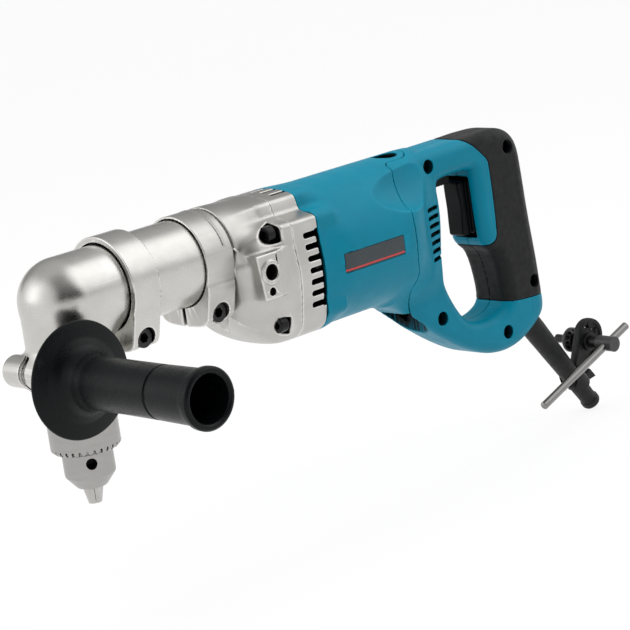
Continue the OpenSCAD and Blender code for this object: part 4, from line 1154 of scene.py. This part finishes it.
class DRILL_OT_side_handle(bpy.types.Operator, DrillPiece):
    """Moulded side handle with its guard disc and threaded stud"""

    bl_idname = "drill.side_handle"
    bl_label = "Side handle"

    def execute(self, context):
        f, turns = finishes(), context.scene.drill_sizes.turns
        profile = (
            (6.05, 30, 0), (6.05, 0.4, 0), (13, 0.4, 0.8), (15, 2, 1.5), (24, 3, 8), (33, 2.2, 6), (35.5, 1.6, 0.6),
            (36.3, 2.6, 0.8), (35.8, 3.9, 0.8), (33, 4.7, 5), (26, 6.4, 8), (20.5, 9.5, 8), (17.6, 14, 12),
            (16.3, 22, 20), (16.1, 50, 60), (16.25, 80.6, 0.5), (15.3, 81.2, 0.4), (15.3, 82.2, 0.4),
            (16.25, 82.8, 0.5), (16.7, 112, 12), (17.0, 115.6, 1.4), (18.6, 117.0, 1.6), (18.7, 121.0, 1.6),
            (17.2, 122.4, 1.4), (15.6, 122.4, 1.0), (14.2, 121, 1.5), (14.0, 48, 2.0), (0.02, 47, 0))

        def parting(r, h, a):
            """A fine raised line along both sides of the mould."""
            across = abs(math.sin(a)) * r
            return (r + (0.16 if across < 0.7 and r > 15 and h > 6 else 0.0), h)
        mesh = turned("side_handle_grip", profile, (BOSS_X, BOSS_ENDS[0], BOSS_Z), (0, -1, 0), turns, parting)
        piece("side_handle_grip", mesh, "side_handle", "side_plastic", f["side_plastic"], "side_grip")
        piece("side_handle_stud", self.stud(), "side_handle", "dark_steel", f["thread_steel"], "side_stud")
        return {"FINISHED"}

    def stud(self):
        pitch, sides, rows, low, high = 1.75, 32, 260, -20.0, 29.8
        points = []
        for i in range(rows + 1):
            h = low + (high - low) * i / rows
            for k in range(sides):
                a = 2 * math.pi * k / sides
                wave = abs((h / pitch - k / sides) % 1.0 - 0.5) * 2
                r = 6.0 - 0.95 * min(1.0, max(0.0, wave * 1.25 - 0.12))
                r = min(r, 4.9 + min(h - low, high - h))
                points.append(row_place((BOSS_X + r * math.cos(a), BOSS_ENDS[0] - h, BOSS_Z + r * math.sin(a))))
        ends = [tuple(range(sides))[::-1], tuple(rows * sides + k for k in range(sides))]
        mesh = bpy.data.meshes.new("side_handle_stud")
        mesh.from_pydata(points, [], bands(range(rows), sides) + ends)
        mesh.update()
        mesh.shade_smooth()
        return mesh


class DRILL_OT_cord_guard(bpy.types.Operator, DrillPiece):
    """Tapered cord guard, the key holder on it, and the chuck key's bar"""

    bl_idname = "drill.cord_guard"
    bl_label = "Cord guard and key"

    def execute(self, context):
        f = finishes()
        length, (ux, uz) = GUARD_LONG, GUARD_WAY
        profile = (
            (4, length - 9, 0), (4, -11, 0), (10.8, -11, 0.5), (10.8, -6, 0.5), (8.4, -6, 0), (8.4, 8, 20),
            (7.4, 45, 40), (6.2, length - 9, 2), (6.3, length - 6.4, 1), (7.1, length - 4.8, 0.8),
            (7.15, length - 1.8, 1.2),
            (6.3, length, 0.8), (4.4, length, 0.5), (4, length - 1, 0), (4, length - 9, 0))
        centre = (GUARD_FOOT[0], 0, GUARD_FOOT[1])
        mesh = turned("cord_guard_tube", profile, centre, (ux, 0, uz), 64)
        piece("cord_guard_tube", mesh, "housing", "rubber_cord", f["rubber_cord"], "cord_guard")
        self.shape("key_holder_leaf", holder_form, (438, -11, -182), (480, 11, -132), "housing", "rubber_cord",
                   "key_holder", fine=True)
        lean = math.radians(19.3)
        profile = (
            (0.02, -80, 0), (1.9, -80, 0.6), (2.9, -79.2, 0.6), (2.9, 23.2, 0.6), (1.9, 24, 0.6), (0.02, 24, 0))
        mesh = turned("key_cross_bar", profile, (KEY[0], -22, KEY[1]), (math.cos(lean), 0, math.sin(lean)), 48)
        piece("key_cross_bar", mesh, "key_handle", "bar_steel", f["bar_steel"], "key_bar")
        return {"FINISHED"}


class DRILL_OT_hardware(bpy.types.Operator, DrillPiece):
    """Finishes and soft edges of the bolts, screws, key, bearings and inner works"""

    bl_idname = "drill.hardware"
    bl_label = "Hardware and inner works"

    FINISH = {
        "bearing_steel": ("input_bearing", "spindle_upper_bearing", "spindle_lower_bearing", "output_bearing",
                          "front_motor_bearing", "rear_motor_bearing"),
        "gear_steel": ("bevel_pinion", "bevel_gear", "output_gear", "counter_gear"),
        "shaft_steel": ("spindle", "output_shaft", "counter_shaft", "armature_shaft"),
        "dark_steel": ("bearing_retainer", "chuck_screw", "chuck_nut", "clamp_bolts", "bearing_clip",
                       "handle_screws", "cord_clamp"),
        "jaw_steel": ("jaw_1", "jaw_2", "jaw_3"), "key_steel": ("chuck_key",),
        "bronze": ("output_bush", "counter_bushes"),
        "lamination": ("stator_core", "armature_core"), "copper_winding": ("field_coils", "armature_winding"),
        "copper_bar": ("commutator",), "inner_plastic": ("fan", "brush_holders", "switch_body", "brush_caps"),
        "carbon": ("carbon_brushes",), "spring_steel": ("brush_springs",)}
    SOFTENED = {"clamp_bolts": 0.4, "handle_screws": 0.25, "jaw_1": 0.25, "jaw_2": 0.25, "jaw_3": 0.25,
                "chuck_key": 0.25, "brush_caps": 0.4}

    def execute(self, context):
        f = finishes()
        for finish, nodes in self.FINISH.items():
            for node in nodes:
                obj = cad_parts[node]
                obj.data.materials.clear()
                obj.data.materials.append(f[finish])
        for node, width in self.SOFTENED.items():
            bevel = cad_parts[node].modifiers.new("soft_edge", "BEVEL")
            bevel.width, bevel.segments, bevel.limit_method = width * MM, 2, "ANGLE"
            bevel.angle_limit = math.radians(40)
            bevel.harden_normals = True
        return {"FINISHED"}


PIECES = (
    DRILL_OT_stage, DRILL_OT_head, DRILL_OT_sleeve, DRILL_OT_gear_case, DRILL_OT_motor, DRILL_OT_handle,
    DRILL_OT_controls, DRILL_OT_chuck, DRILL_OT_side_handle, DRILL_OT_cord_guard, DRILL_OT_hardware)


class DRILL_PT_looks(bpy.types.Panel):
    """Pieces and settings of the drill"""

    bl_idname = "DRILL_PT_looks"
    bl_label = "Right angle drill"
    bl_space_type = "VIEW_3D"
    bl_region_type = "UI"
    bl_category = "Drill"

    def draw(self, context):
        for group in ("drill_finishes", "drill_sizes", "drill_stage"):
            values = getattr(context.scene, group)
            for key in values.__annotations__:
                self.layout.prop(values, key)
        for operator in PIECES:
            self.layout.operator(operator.bl_idname)


GROUPS = (("drill_finishes", DrillFinishes), ("drill_sizes", DrillSizes), ("drill_stage", DrillStage))


def register():
    for name, group in GROUPS:
        bpy.utils.register_class(group)
        setattr(bpy.types.Scene, name, PointerProperty(type=group))
    for operator in PIECES + (DRILL_PT_looks,):
        bpy.utils.register_class(operator)


def unregister():
    for operator in reversed(PIECES + (DRILL_PT_looks,)):
        bpy.utils.unregister_class(operator)
    for name, group in reversed(GROUPS):
        delattr(bpy.types.Scene, name)
        bpy.utils.unregister_class(group)


def main():
    register()
    for operator in PIECES:
        group, name = operator.bl_idname.split(".")
        getattr(getattr(bpy.ops, group), name)()


if __name__ == "__main__":
    main()
